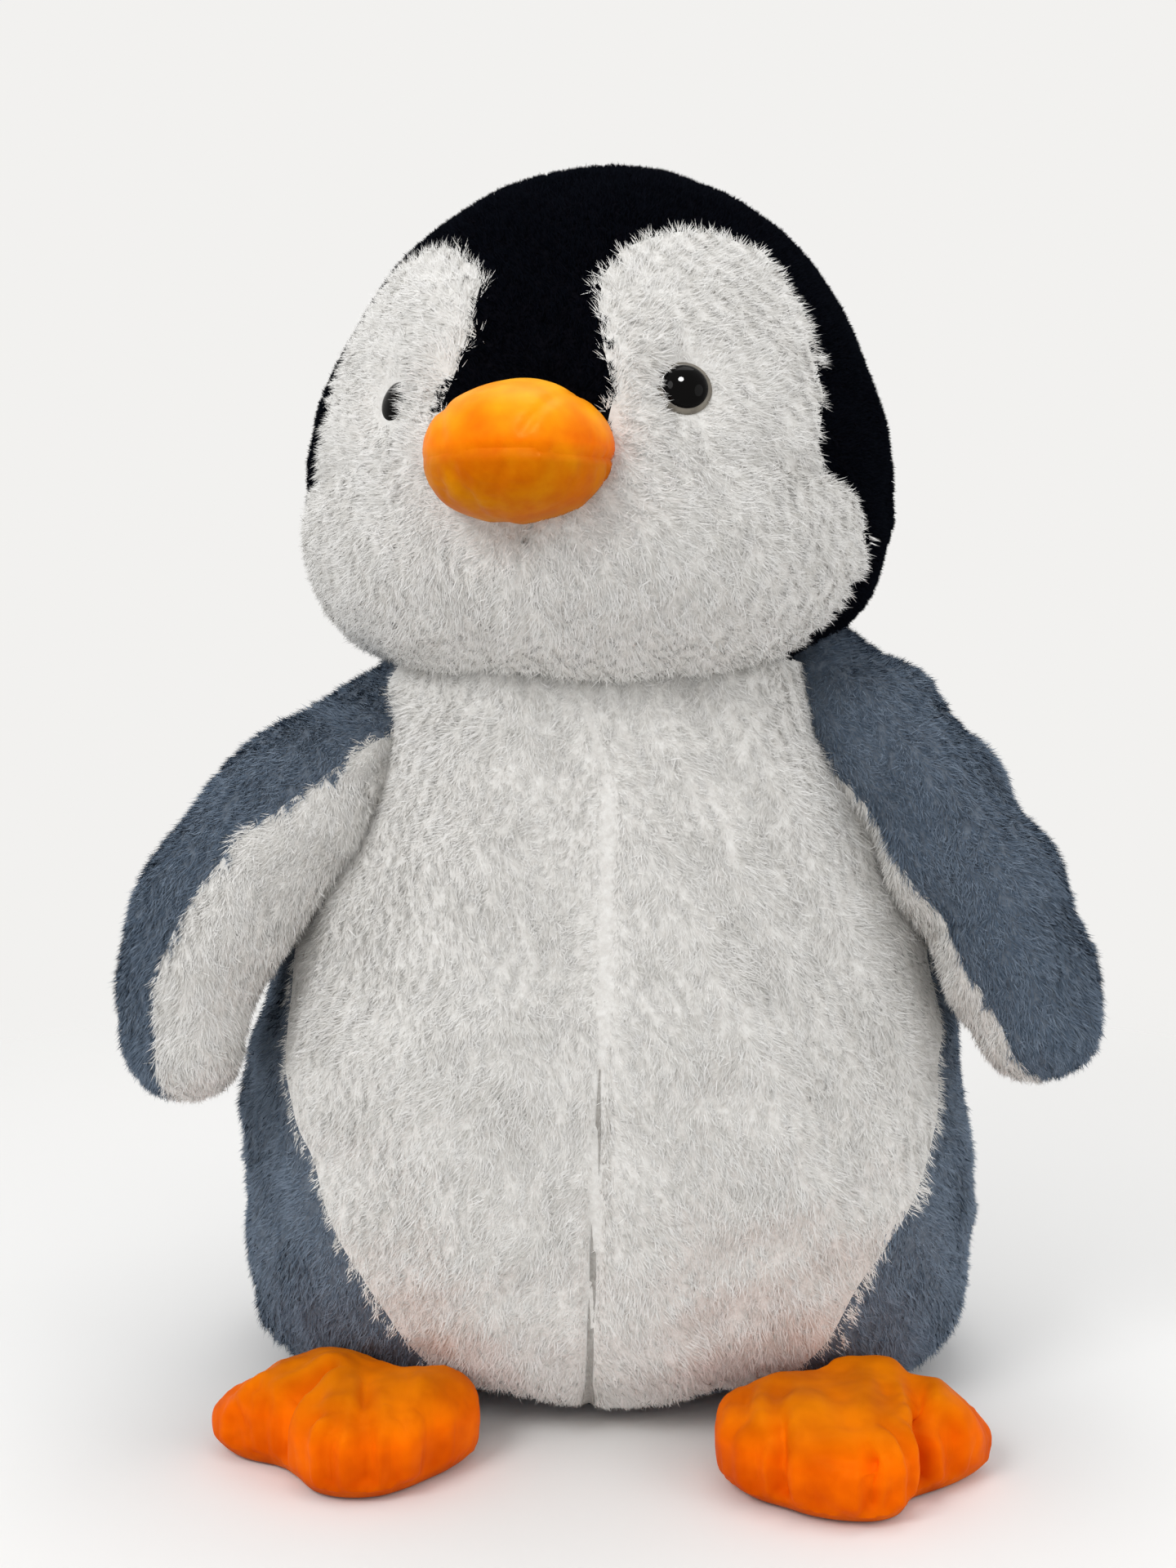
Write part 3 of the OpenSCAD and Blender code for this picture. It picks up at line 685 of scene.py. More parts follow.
FACE = rad(-15.5)
LEAN = rad(-1.0)
head_at = np.array([-0.011, -0.015, 0.718])
turn = np.array([
    [math.cos(FACE), -math.sin(FACE), 0], [math.sin(FACE), math.cos(FACE), 0], [0, 0, 1.0],
])
turn = turn @ np.array([
    [math.cos(LEAN), 0, math.sin(LEAN)], [0, 1.0, 0], [-math.sin(LEAN), 0, math.cos(LEAN)],
])
HEAD_WIDE, HEAD_DEEP = 0.231, 0.212  # half sizes
CROWN, CHIN = 0.2745, 0.144  # height above and below the middle
CROWN_POWER, CHIN_POWER = 2.0, 2.6  # how square each half is
HEAD_PLAN = 2.2
HEAD_BACK = 0.12  # how far the crown leans back, as a slope
BACKING_OUT = 0.0067  # how far the backing stands outside the plain shape
EYE_AT = [(24.0, 29.5), (24.0, -29.5)]  # up and to the side, in degrees
head_lump = Waves(0.12, 31)
head_soft = Waves(0.05, 32)


def head_raw(up, side, out=0.0):
    """Point of the plain head, seen from its middle at up and side in degrees."""
    u, s = rad(up), rad(side)
    d = np.stack([np.sin(s), -np.cos(s) * np.cos(u), np.cos(s) * np.sin(u)], -1)
    x, y = np.abs(d[..., 0]) / (HEAD_WIDE + out), np.abs(d[..., 1]) / (HEAD_DEEP + out)
    flat = (x ** HEAD_PLAN + y ** HEAD_PLAN) ** (1 / HEAD_PLAN)
    above = d[..., 2] >= 0
    tall = np.abs(d[..., 2]) / np.where(above, CROWN + out, CHIN)
    p = np.where(above, CROWN_POWER, CHIN_POWER)
    q = d * ((flat ** p + tall ** p) ** (-1 / p))[..., None]
    q[..., 1] += HEAD_BACK * q[..., 2]
    return q


EYES = [head_raw(np.array(u), np.array(s)) for u, s in EYE_AT]


def head_local(up, side):
    """Point of the head's backing, with hollows, in the head's own directions."""
    q = head_raw(up, side, BACKING_OUT)
    n = unit(q)
    off = (0.0022 * head_lump(q) + 0.001 * head_soft(q)) * (1 - 0.7 * ease(q[..., 2], 0.05, 0.15))
    for e in EYES:
        off = off - 0.011 * hump(np.linalg.norm(q - e, axis=-1), 0.024)
    # soft valley where the patch meets the cheek, and down the chin
    far, low = np.abs(side), -np.asarray(up)
    crease = hump(np.asarray(up) - 10, 3.0) * ease(far, 34, 46) * (1 - ease(far, 62, 72))
    chin = hump(q[..., 0], 0.006) * ease(low, -4, 8) * (1 - ease(low, 60, 70))
    off = off - 0.006 * crease - 0.0035 * chin
    return q + n * off[..., None]


def to_world(q):
    return q @ turn.T + head_at


def head_pt(up, side):
    return to_world(head_local(up, side))


# up in degrees, from the chin over the crown to the neck, and half the gusset's width
GUSSET = np.array([
    [12, 13.5], [20, 14.5], [28, 12], [36, 9.5], [44, 9], [50, 11], [57.5, 19], [65.5, 33],
    [76, 22], [92, 14], [120, 12], [228, 12], [252, 33],
])
# the same for where the black side panels begin
SIDE = np.array([
    [-108, 33], [-84, 30], [-68, 44], [-60, 60], [-52, 66], [-36, 71], [-20, 73], [-4, 73], [4, 68],
    [12, 61], [20, 57], [36, 56], [50, 52], [57.5, 47], [65.5, 36], [76, 22], [92, 14], [120, 12],
    [228, 12], [252, 33],
])
# where the head's panels end, in degrees from the chin over the crown to the nape
UNDER, CHEEK_DOWN, CHEEK_UP, PATCH_UP, NAPE = -108, -68, 12, 65.5, 252


def gusset_edge(u):
    return np.interp(u, GUSSET[:, 0], GUSSET[:, 1]) + 2.2 * (1 - ease(u, 64, 76))


def side_edge(u, side=1):
    """The patch of the right side is a little narrower."""
    trim = 6.0 * ease(u, 6, 14) * (1 - ease(u, 58, 66))
    return np.interp(u, SIDE[:, 0], SIDE[:, 1]) - np.where(np.asarray(side) < 0, trim, 0.0)


def head_skin(name, ups, lo, hi, cols, mat, nodes):
    skin(
        f"{name}_skin", lambda s, u: head_pt(u, s), lambda u: np.linspace(lo(u), hi(u), cols),
        np.linspace(*ups), mat, head_at, "head", nodes,
    )


head_skin(
    "head_gusset", (CHEEK_UP, NAPE, 110), lambda u: -gusset_edge(u), gusset_edge, 24, black_base,
    ["head_gusset", "head_stuffing"],
)
for side, tag in SIDES:
    border = functools.partial(side_edge, side=side)
    for name, ups, lo, hi, cols, mat in (
        ("head_side", (UNDER, NAPE, 180), border, lambda u: 89.9, 34, black_base),
        ("eye_patch", (CHEEK_UP, PATCH_UP, 50), gusset_edge, border, 40, white_base),
        ("cheek", (CHEEK_DOWN, CHEEK_UP, 60), lambda u: 0.0, border, 50, white_base),
    ):
        name = f"{name}_{tag}"
        head_skin(name, ups, lambda u: side * lo(u), lambda u: side * hi(u), cols, mat, [name])
head_skin("head_under", (UNDER, CHEEK_DOWN, 20), lambda u: -side_edge(u), side_edge, 30, white_base, [])

count = int(320000 * AMOUNT)
up, sd, P, N = scatter(head_pt, (UNDER, NAPE), (-89.5, 89.5), count, rng, 0.5, 0.5, head_at)
Q = (P - head_at) @ turn
cut = 2.0 * clump(P) + 1.2 * swirl(P)
abs_s = np.abs(sd)
before_side = abs_s < side_edge(up, sd) + 0.6 * cut
patch = (up > CHEEK_UP) & (up < 65 + 0.5 * cut) & (abs_s > gusset_edge(up) + 0.5 * cut) & before_side
cheek = (up <= CHEEK_UP) & (up > CHEEK_DOWN) & before_side
under = (up <= CHEEK_DOWN) & (abs_s < side_edge(up))
white = patch | cheek | under
# no tufts grow where the eyes and the beak are sewn on
to_eyes = [np.linalg.norm(Q - e, axis=1) for e in EYES]
eye_gap = np.min(to_eyes, axis=0)
in_beak = (((Q[:, 0] / 0.055) ** 2 + ((Q[:, 2] - 0.034) / 0.040) ** 2) < 1) & (Q[:, 1] < 0)
over_edge = np.zeros(len(P), bool)
for e, s, gap in zip(EYES, (1, -1), to_eyes):
    over_edge |= ((Q[:, 0] - e[0]) * s < -0.005) & (gap <= 0.03)
keep = (eye_gap > np.where(over_edge, 0.0140, 0.0170)) & ~in_beak
radial = np.stack([Q[:, 0], np.zeros(len(Q)), Q[:, 2] - 0.03], 1)
R = unit(radial) @ turn.T
down, back = to_side(P, 2, -1), to_side(P, 1, 1)
D = np.where(white[:, None], R + down * 0.45, R * 0.5 + back * 0.9 + down * 0.2)
# pile round the eyes is combed away from them, but over their inner edges
near_left = np.zeros(len(P))
for e, s, gap in zip(EYES, (1, -1), to_eyes):
    g = hump(gap, 0.035)[:, None]
    over = ease((e[0] - Q[:, 0]) * s, 0.006, 0.016)[:, None]
    D = D * (1 - g) + unit((Q - e) @ turn.T) * g * (1 - 2.2 * over)
    near_left = np.maximum(near_left, g[:, 0] * over[:, 0] * (1.0 if s > 0 else 1.5))
sideways = unit(head_pt(up, sd + 0.4) - head_pt(up, sd - 0.4)) * np.sign(sd)[:, None]
inner = hump(abs_s - gusset_edge(up), 4) * patch
outer = hump(side_edge(up, sd) - abs_s, 5) * white
D = unit(D) + sideways * (0.5 * outer - 1.0 * inner)[:, None]
D = comb(P, N, unit(D), rng)
L = np.where(white, rng.normal(0.0100, LONG_SPREAD, len(P)), rng.normal(0.0062, 0.0010, len(P)))
L *= 1 - 0.35 * hump(eye_gap - 0.018, 0.012) * (1 - near_left) + 0.35 * near_left
lift = np.where(white, rng.normal(44, 11, len(P)) + 6 * clump(P), rng.normal(58, 10, len(P)))
lift = lift + 16 * near_left
W = np.where(
    white, rng.uniform(0.0008, 0.0015, len(P)) * THICKER, rng.uniform(0.0010, 0.0018, len(P)) * THICKER
)
for name, region, mats in (
    ("eye_patch", patch, WHITE), ("cheek", cheek | under, WHITE), ("head_black", ~white, BLACK),
):
    for tag, half in (("left", sd > 0), ("right", sd <= 0)):
        c = np.where(region & half & keep)[0]
        v = flecks(P[c]) + (PALE if mats is WHITE else 0.0)
        grow(f"{name}_{tag}_pile", c, (P, N, D, L, W, lift), v, mats, rng, "head", seed=2)

# ------ neck

NECK_R = 0.190
NECK_UP = 40.0  # how far up the neck's skin reaches, in degrees from its lowest point


def neck_pt(t, a):
    t, a = rad(t), rad(a)
    return pivot + NECK_R * np.stack([np.sin(t) * np.sin(a), -np.sin(t) * np.cos(a), -np.cos(t)], -1)


rings = [neck_pt(np.full(ROUND, t), rounds) for t in np.linspace(2, NECK_UP, 20)]
rings.append(rings[-1] * [0.85, 0.85, 1] + [0, 0, 0.001])
ob = new_mesh("neck_skin", np.concatenate(rings), [grid_faces(21, ROUND, True)], [grey_base])
finish_piece(ob, "neck", ["neck_stuffing"])

# ------ eyes

EYE_STEPS = 64
RIM_R, PUPIL_R = 0.0165, 0.0172


def lathe(name, profile, mats):
    """Profile of (radius, height) pairs turned about the z axis."""
    a = np.linspace(0, 2 * math.pi, EYE_STEPS, endpoint=False)
    pr = np.array(profile)
    high = np.repeat(pr[:, 1:2], EYE_STEPS, 1)
    co = np.stack([pr[:, 0:1] * np.cos(a), pr[:, 0:1] * np.sin(a), high], -1).reshape(-1, 3)
    return new_mesh(name, co, [grid_faces(len(pr), EYE_STEPS, True)], mats)


def arc(share):
    """Cosine and sine of a share of a quarter turn."""
    return math.cos(share * math.pi / 2), math.sin(share * math.pi / 2)


def plain_head(up, side):
    return to_world(head_raw(up, side))


for (u, s), tag in zip(EYE_AT, ("left", "right")):
    p, n = away(plain_head, np.array([u]), np.array([s]), 0.3, 0.3, head_at)
    p, n = p[0] - n[0] * 0.0045, n[0]
    if tag == "right":  # set deeper and looking further to the side
        p, n = p - n * 0.0050, unit(n + np.array([-0.36, 0.10, 0.0]))
    zx = unit(np.cross([0, 0, 1.0], n))
    M = np.column_stack([zx, np.cross(n, zx), n])
    quarter = [arc(x) for x in np.linspace(0, 1, 14)]
    iris = [(0.0001, 0.004), (RIM_R, 0.0042)]
    iris += [(RIM_R + 0.0040 * high, 0.0042 + 0.003 * wide) for wide, high in quarter] + [(0.0205, 0.0)]
    dome = [(PUPIL_R, 0.002)]
    dome += [(max(PUPIL_R * wide, 0.0001), 0.0060 + 0.0090 * high) for wide, high in quarter]
    for part, profile, mat in (("iris", iris, iris_mat), ("pupil", dome, pupil_mat)):
        ob = lathe(f"eye_{tag}_{part}", profile, [mat])
        place(ob.data, np.array([v.co for v in ob.data.vertices]) @ M.T + p)
        if part == "iris":
            ob.data.flip_normals()
        finish_piece(ob, "head", [f"eye_{tag}"])

# ------ beak

BEAK_Z = 0.030  # height of the beak's middle over the head's
BEAK_HALF, BEAK_LONG = 0.069, 0.084
BEAK_UP, BEAK_DOWN = 0.058, 0.046
BEAK_STEPS = 120
beak_lump = Waves(0.06, 41)


def face_y(x, z):
    """How far forward the plain head is at x and z."""
    tall = np.abs(z) / np.where(z >= 0, CROWN, CHIN)
    p = np.where(z >= 0, CROWN_POWER, CHIN_POWER)
    flat = (1 - tall ** p) ** (1 / p)
    left = np.clip(flat ** HEAD_PLAN - (np.abs(x) / HEAD_WIDE) ** HEAD_PLAN, 0, None)
    return HEAD_BACK * z - HEAD_DEEP * left ** (1 / HEAD_PLAN)


def mouth_z(x):
    return 0.0275 + 0.004 * np.cos(np.asarray(x) / BEAK_HALF * 1.4)


def beak_pt(a, f):
    """Point of the beak at angle a round it, with f from the face, 0, to the tip, 1."""
    a = np.asarray(a, float)
    r = rad(a)
    f = np.broadcast_to(f, a.shape)
    high = np.where(np.sin(r) >= 0, BEAK_UP, BEAK_DOWN)
    rnd = np.clip(1 - f ** 2.4, 0, 1) ** (1 / 2.2)
    x, dz = BEAK_HALF * np.cos(r), high * np.sin(r)
    root = face_y(x, BEAK_Z + dz) - 0.0006
    y = root + (face_y(np.zeros_like(x), np.full_like(x, BEAK_Z)) - BEAK_LONG - root) * f
    q = np.stack([x * rnd, y, BEAK_Z + dz * rnd], -1)
    n = unit((q - [0, -0.19, BEAK_Z]) * [1 / BEAK_HALF, 1 / BEAK_LONG, 1 / 0.05])
    mouth = hump(q[..., 2] - mouth_z(q[..., 0]), 0.004) * ease(f, 0.05, 0.4)
    off = 0.0008 * beak_lump(q) - 0.0003 * mouth - 0.0022
    return to_world(q + n * off[..., None])


rr = np.cos(np.linspace(0, math.pi / 2 - 0.0004, 40))
A, F = np.meshgrid(np.linspace(0, 360, BEAK_STEPS + 1)[:-1], (1 - rr ** 2.2) ** (1 / 2.4))
# the open root is closed inside the head
x, z = 0.06 * np.cos(rad(A[0])), BEAK_Z + 0.045 * np.sin(rad(A[0]))
back_p = to_world(np.stack([x, np.full(BEAK_STEPS, -0.150), z], -1))
co = np.concatenate([[back_p.mean(0)] * BEAK_STEPS, back_p, beak_pt(A.ravel(), F.ravel())])
ob = closed_copy("beak_cloth", co, [grid_faces(42, BEAK_STEPS, True)], 0.0035)
start = points_of(ob.data)
x, y, z = ((start - head_at) @ turn).T
co = inflate(ob, y > -0.175, 0.05, 4.0, 0.006)
by_mouth = z - mouth_z(x)
let_out = ease(-y, 0.178, 0.225) * (1 - 0.12 * hump(by_mouth, 0.012))
co = start + (co - start) * let_out[:, None]
pucker = hump(by_mouth, 0.009) * np.sin(x * 560 + 2.4 * np.sin(x * 85)) * ease(x, -0.045, 0.03)
facet = hump(x - 0.018 - 0.5 * by_mouth, 0.004) + hump(x + 0.030 + 0.4 * by_mouth, 0.005)
seam = -0.0024 * hump(by_mouth, 0.0024) * (0.4 + 0.6 * ease(x, -0.03, 0.02))
off = seam + 0.0006 * pucker - 0.0020 * facet * ease(np.abs(by_mouth), 0.004, 0.014)
co = emboss(ob, co, off * ease(-y, 0.19, 0.21))
fq = (face_centres(ob, start) - head_at) @ turn
split_skin(
    ob, co, fq[:, 2] > mouth_z(fq[:, 0]),
    (("beak_upper_skin", ["beak_upper", "beak_stuffing"]), ("beak_lower_skin", ["beak_lower"])),
    beak_orange, "head",
)

# ------ flippers


def spline(keys, t):
    """Smooth curve through keys (t, values...)."""
    k = np.array(keys, float)
    t = np.clip(t, k[0, 0], k[-1, 0])
    i = np.clip(np.searchsorted(k[:, 0], t, side="right") - 1, 0, len(k) - 2)
    m = np.gradient(k[:, 1:], k[:, 0], axis=0)
    h = k[i + 1, 0] - k[i, 0]
    s = ((t - k[i, 0]) / h)[:, None]
    h = h[:, None]
    a, b = k[i, 1:], k[i + 1, 1:]
    return ((2 * s ** 3 - 3 * s ** 2 + 1) * a + (s ** 3 - 2 * s ** 2 + s) * h * m[i]
            + (3 * s ** 2 - 2 * s ** 3) * b + (s ** 3 - s ** 2) * h * m[i + 1])


hinge_way = np.array([0.438371, 0.898794, 0])
TIP_FROM, TIP = 0.88, 0.12  # where the rounded tip begins, and how much of t it takes
# t, centre x y z, half width, half thickness, turn of the seam
FLIP = {
    "left": [
        (0.00, 0.146, -0.030, 0.598, 0.046, 0.040, -34), (0.12, 0.172, -0.050, 0.578, 0.056, 0.048, -34),
        (0.28, 0.219, -0.082, 0.530, 0.064, 0.053, -31), (0.50, 0.273, -0.112, 0.452, 0.068, 0.056, -28),
        (0.72, 0.312, -0.136, 0.380, 0.067, 0.054, -24), (0.88, 0.332, -0.146, 0.328, 0.058, 0.046, -20),
    ],
    "right": [
        (0.00, -0.150, -0.030, 0.562, 0.040, 0.034, 4), (0.12, -0.178, -0.050, 0.544, 0.050, 0.043, 10),
        (0.28, -0.227, -0.082, 0.503, 0.060, 0.054, 22), (0.50, -0.296, -0.108, 0.430, 0.070, 0.061, 38),
        (0.72, -0.330, -0.126, 0.362, 0.068, 0.054, 48), (0.88, -0.336, -0.136, 0.308, 0.056, 0.044, 52),
    ],
}
flip_lump = Waves(0.09, 51)


def flipper_frame(tag, t):
    """Keys at t, and the directions along, across and through the flipper."""
    k = spline(FLIP[tag], np.minimum(t, TIP_FROM))
    at, step = np.clip(t, 0, 0.87), 0.01
    way = unit(spline(FLIP[tag], at + step)[:, :3] - spline(FLIP[tag], at)[:, :3])
    hw = hinge_way * ([1, 1, 1] if tag == "left" else [-1, 1, 1])
    across = unit(hw - way * dot(hw, way))
    thick = np.cross(across, way) * (1 if tag == "left" else -1)
    return k, way, across, thick


def flipper_pt(tag):
    def f(a, t):
        t = np.broadcast_to(np.asarray(t, float), np.shape(a)).astype(float)
        k, way, across, thick = flipper_frame(tag, t)
        r = rad(a)
        tip = np.clip((t - TIP_FROM) / TIP, 0, 1) * math.pi / 2
        end = np.where(t > TIP_FROM, np.cos(tip), 1.0)
        past = np.where(t > TIP_FROM, np.sin(tip), 0.0) * 0.050
        p = k[:, :3] + way * past[:, None]
        p = p + across * (k[:, 3] * end ** 0.8 * np.cos(r))[:, None]
        p = p + thick * (k[:, 4] * end ** 0.8 * np.sin(r))[:, None]
        n = unit(across * np.cos(r)[:, None] + thick * np.sin(r)[:, None])
        return p + n * ((0.001 + 0.003 * flip_lump(p)) * end)[:, None]
    return f


def flipper_centre(tag):
    line = spline(FLIP[tag], np.linspace(0, 0.9, 40))[:, :3]

    def c(p):
        i = np.argmin(((p[:, None, :] - line[None]) ** 2).sum(-1), axis=1)
        return line[i]
    return c


def seam_turn(tag, t):
    """Angle at which the seam between the panels runs."""
    return spline(FLIP[tag], np.array([min(t, TIP_FROM)]))[0, 5]


for s, tag in SIDES:
    f, centre = flipper_pt(tag), flipper_centre(tag)
    body = ("torso", f"flipper_{tag}", (s * 0.200, -0.06, 0.575), (s * 0.262, -0.115, 0.478))
    ts = np.concatenate([np.linspace(0, TIP_FROM, 50), TIP_FROM + TIP * np.linspace(0.06, 0.985, 14)])
    for part, start, mat in (("inner", 0, white_base), ("outer", 180, grey_base)):
        nodes = [f"flipper_{tag}_{part}"] + ([f"flipper_{tag}_stuffing"] if part == "inner" else [])
        skin(
            f"flipper_{tag}_{part}_skin", f,
            lambda t: np.linspace(seam_turn(tag, t) + start, seam_turn(tag, t) + start + 180, 34),
            ts, mat, centre, body, nodes,
        )
    count = int(90000 * AMOUNT)
    a, t, P, N = scatter(f, (0, 360), (0, 0.997), count, rng, 0.6, 0.004, centre)
    k, way, _, _ = flipper_frame(tag, t)
    rel = (a - k[:, 5] + 2 * clump(P) + 3 * swirl(P) + rng.normal(0, 1.2, len(P))) % 360
    white = rel < 180
    D = comb(P, N, way + 0.25 * np.array([0, 0, -1.0]), rng)
    L = rng.normal(0.0095, LONG_SPREAD, len(P))
    W = rng.uniform(0.0008, 0.0015, len(P)) * THICKER
    lift = rng.normal(43, 11, len(P)) + 6 * clump(P)
    for part, chosen, mats in (("inner", white, WHITE), ("outer", ~white, GREY)):
        c = np.where(chosen)[0]
        v = flecks(P[c]) + (PALE if mats is WHITE else -0.3)
        name = f"flipper_{tag}_{part}_pile"
        grow(name, c, (P, N, D, L, W, lift), v, mats, rng, body, seed=3)

# ------ feet

# outline of each foot from above: angle in degrees, distance in millimetres
FOOT_R = {
    "left": [
        (-90, 68), (-60, 84), (-38, 82), (-14, 74), (0, 78), (8, 88), (16, 99), (23, 95), (30, 85),
        (42, 71), (60, 58), (78, 54), (90, 60), (103, 73), (112, 78), (133, 83), (153, 88), (168, 92),
        (181, 102), (195, 108), (212, 107), (229, 94), (247, 76), (270, 68),
    ],
    "right": [
        (-90, 50), (-60, 66), (-30, 86), (-12, 97), (4, 109), (13, 114), (21, 106), (27, 92), (33, 74),
        (42, 62), (54, 57), (72, 57), (92, 65), (108, 69), (122, 71), (139, 73), (158, 73), (177, 76),
        (192, 84), (209, 93), (227, 84), (246, 62), (270, 50),
    ],
}
FOOT_C = {"left": (0.0, 0.0705), "right": (0.022, 0.052)}  # where the outline is measured from
TOE = {"left": (0.046, 0.100), "right": (0.072, 0.122)}  # where the outer toe grows thinner
# creases in the plan of each foot: from, to, depth and width, in millimetres
FOLDS = {
    "left": [
        (46, 64, 6, 142, 7.5, 6), (-66, 70, -100, 108, 5, 5), (-72, 84, -112, 78, 2.5, 5),
        (-60, 14, -96, 58, 2.2, 5), (-44, 30, -78, 74, 2, 5), (-86, 106, -30, 138, 2.5, 6),
        (-16, 110, -8, 140, 4, 4), (-34, 118, -44, 152, 3.5, 4), (10, 96, 44, 118, 2.5, 5),
        (-20, 60, -36, 104, 1.6, 7), (30, 40, 14, 80, 1.6, 6), (60, 84, 92, 112, 1.6, 6),
    ],
    "right": [
        (16, 44, -24, 108, 3.2, 5), (56, 108, 42, 58, 6.5, 6), (64, 96, 88, 84, 2.5, 4),
        (68, 104, 104, 96, 2.5, 4), (-14, 96, 14, 132, 3.5, 4), (-18, 98, -8, 134, 3, 3.5),
        (-22, 98, -36, 126, 3.5, 4), (-26, 94, -56, 104, 3, 4.5), (-38, 52, -64, 76, 2.4, 6),
        (-20, 94, 24, 108, 2.2, 4), (36, 70, 20, 118, 2, 5), (-10, 30, -34, 70, 1.6, 6),
        (80, 60, 112, 70, 1.8, 6),
    ],
}
# heel x and y, side, turn in degrees
FOOT = {"left": (0.153122, -0.195762, 1, 26.0), "right": (-0.153122, -0.195762, -1, 26.0)}
FOOT_MID = 0.020  # height at which a foot is widest
HEEL_Z = 0.037  # height of the middle of the heel
SOLE_EDGE = 0.0105  # height of the seam between top and sole
foot_lump = Waves(0.05, 61)


def foot_outline(tag, a):
    a = (np.asarray(a, float) + 90) % 360 - 90
    k = np.array(FOOT_R[tag], float)
    k = np.concatenate([k[-4:-1] - [360, 0], k, k[1:4] + [360, 0]])
    return spline(k * [1, 0.001], a.ravel())[:, 0].reshape(a.shape)


def foot_pt(tag):
    hx, hy, side, turned = FOOT[tag]
    cx, cy = FOOT_C[tag]

    def f(a, v):
        a = np.asarray(a, float) % 360
        v = np.broadcast_to(v, a.shape)
        dive = v * math.pi
        reach = foot_outline(tag, a)
        out = spow(np.sin(dive), 0.42) * reach
        across, ahead = cx + out * np.cos(rad(a)), cy + out * np.sin(rad(a))
        ahead = np.maximum(ahead, -0.008 * ease(-across, 0.02, 0.05))
        c = np.cos(dive)
        tall = mix(0.048, 0.037, ease(ahead, 0.06, 0.15)) * (1 - 0.5 * ease(across, *TOE[tag]))
        under = np.maximum(0.001, FOOT_MID - 0.025 * np.abs(c))
        z = np.where(c > 0, FOOT_MID + tall * np.abs(c) ** 0.36, under)
        # the heel is rounded off towards its root
        heel = (1 - (np.clip(0.037 - ahead, 0, 0.045) / 0.0455) ** 3.4) ** (1 / 3.4)
        room = mix(0.027 + 0.004 * ease(-across, 0.0, 0.04), 0.036, ease(ahead, 0.0, 0.07))
        z = np.clip(z, HEEL_Z - HEEL_Z * heel, HEEL_Z + room * heel)
        q = np.stack([across, -ahead, z], -1)
        lump = foot_lump(q + (0 if side > 0 else 1.0))
        q[..., 2] = np.where(c > 0, q[..., 2] + 0.0022 * lump, q[..., 2])
        t = rad(turned)
        x = q[..., 0] * np.cos(t) - q[..., 1] * np.sin(t)
        y = q[..., 0] * np.sin(t) + q[..., 1] * np.cos(t)
        return np.stack([side * (x + side * hx), y + hy, q[..., 2]], -1)
    return f


def creased(tag, p):
    """Depth of the creases at points p of a foot."""
    hx, hy, side, turned = FOOT[tag]
    t = rad(turned)
    x, y = side * (p[:, 0] - hx), p[:, 1] - hy
    q = np.stack([x * np.cos(t) + y * np.sin(t), x * np.sin(t) - y * np.cos(t)], 1)
    off = np.zeros(len(p))
    for x0, y0, x1, y1, depth, width in FOLDS[tag]:
        a, b = np.array([x0, y0]) / 1000, np.array([x1, y1]) / 1000
        along = (q - a) @ (b - a) / ((b - a) @ (b - a))
        k = np.clip(along, 0, 1)
        bent = 0.0022 * np.sin(k * 5 + x0)
        far = np.abs(np.linalg.norm(q - a - k[:, None] * (b - a), axis=1) - bent) / width * 820
        lips = 0.35 * hump(far - 1.9, 1.0) - hump(far, 1.0)
        off += 2.0 * depth / 1000 * lips * ease(along, -0.1, 0.5)
    return off * ease(p[:, 2], 0.011, 0.018)


for _, tag in SIDES:
    u, v = np.linspace(0, 360, 145)[:-1], np.clip(np.linspace(0, 1, 70), 1e-7, 1 - 1e-7)
    A, V = np.meshgrid(u, v)
    co = foot_pt(tag)(A.ravel(), V.ravel())
    ob = closed_copy(f"foot_{tag}_cloth", co, [grid_faces(70, 144, True)], 0.0032)
    start = points_of(ob.data)
    co = inflate(ob, start[:, 2] < SOLE_EDGE, 0.04, 3.0, 0.004)
    co = emboss(ob, co, creased(tag, start))
    panels = (
        (f"foot_{tag}_top_skin", [f"foot_{tag}_top", f"foot_{tag}_stuffing"]),
        (f"foot_{tag}_sole_skin", [f"foot_{tag}_sole"]),
    )
    above = face_centres(ob, start)[:, 2] > SOLE_EDGE
    split_skin(ob, co, above, panels, foot_orange, f"foot_{tag}")

# ------ tail

tail_at = np.array([0, 0.247345, 0.078])


def tail_pt(a, v):
    """Point at angle a round the tail, with v from inside the body, 0, to the tip, 1."""
    v = np.broadcast_to(np.asarray(v, float), np.shape(a)).astype(float)
    root = 0.25
    back = np.clip((root - v) / root, 0, 1)
    f = np.clip((v - root) / (1 - root), 0, 1)
    d = rad(24)
    way = np.array([0, math.cos(d), -math.sin(d)])
    upward = np.array([0, math.sin(d), math.cos(d)])
    quarter = back * math.pi / 2
    end = np.where(back > 0, np.cos(quarter), np.clip(1 - f ** 2.2, 0, 1) ** 0.5)
    half_t = mix(0.026, 0.0156, f) * end
    half_w = 0.060 * end ** 0.8
    past = np.where(back > 0, -0.026 * np.sin(quarter), 0.092 * f)
    r = rad(a)
    p = tail_at + past[:, None] * way + (half_w * np.cos(r))[:, None] * [1, 0, 0]
    return p + (half_t * np.sin(r))[:, None] * upward


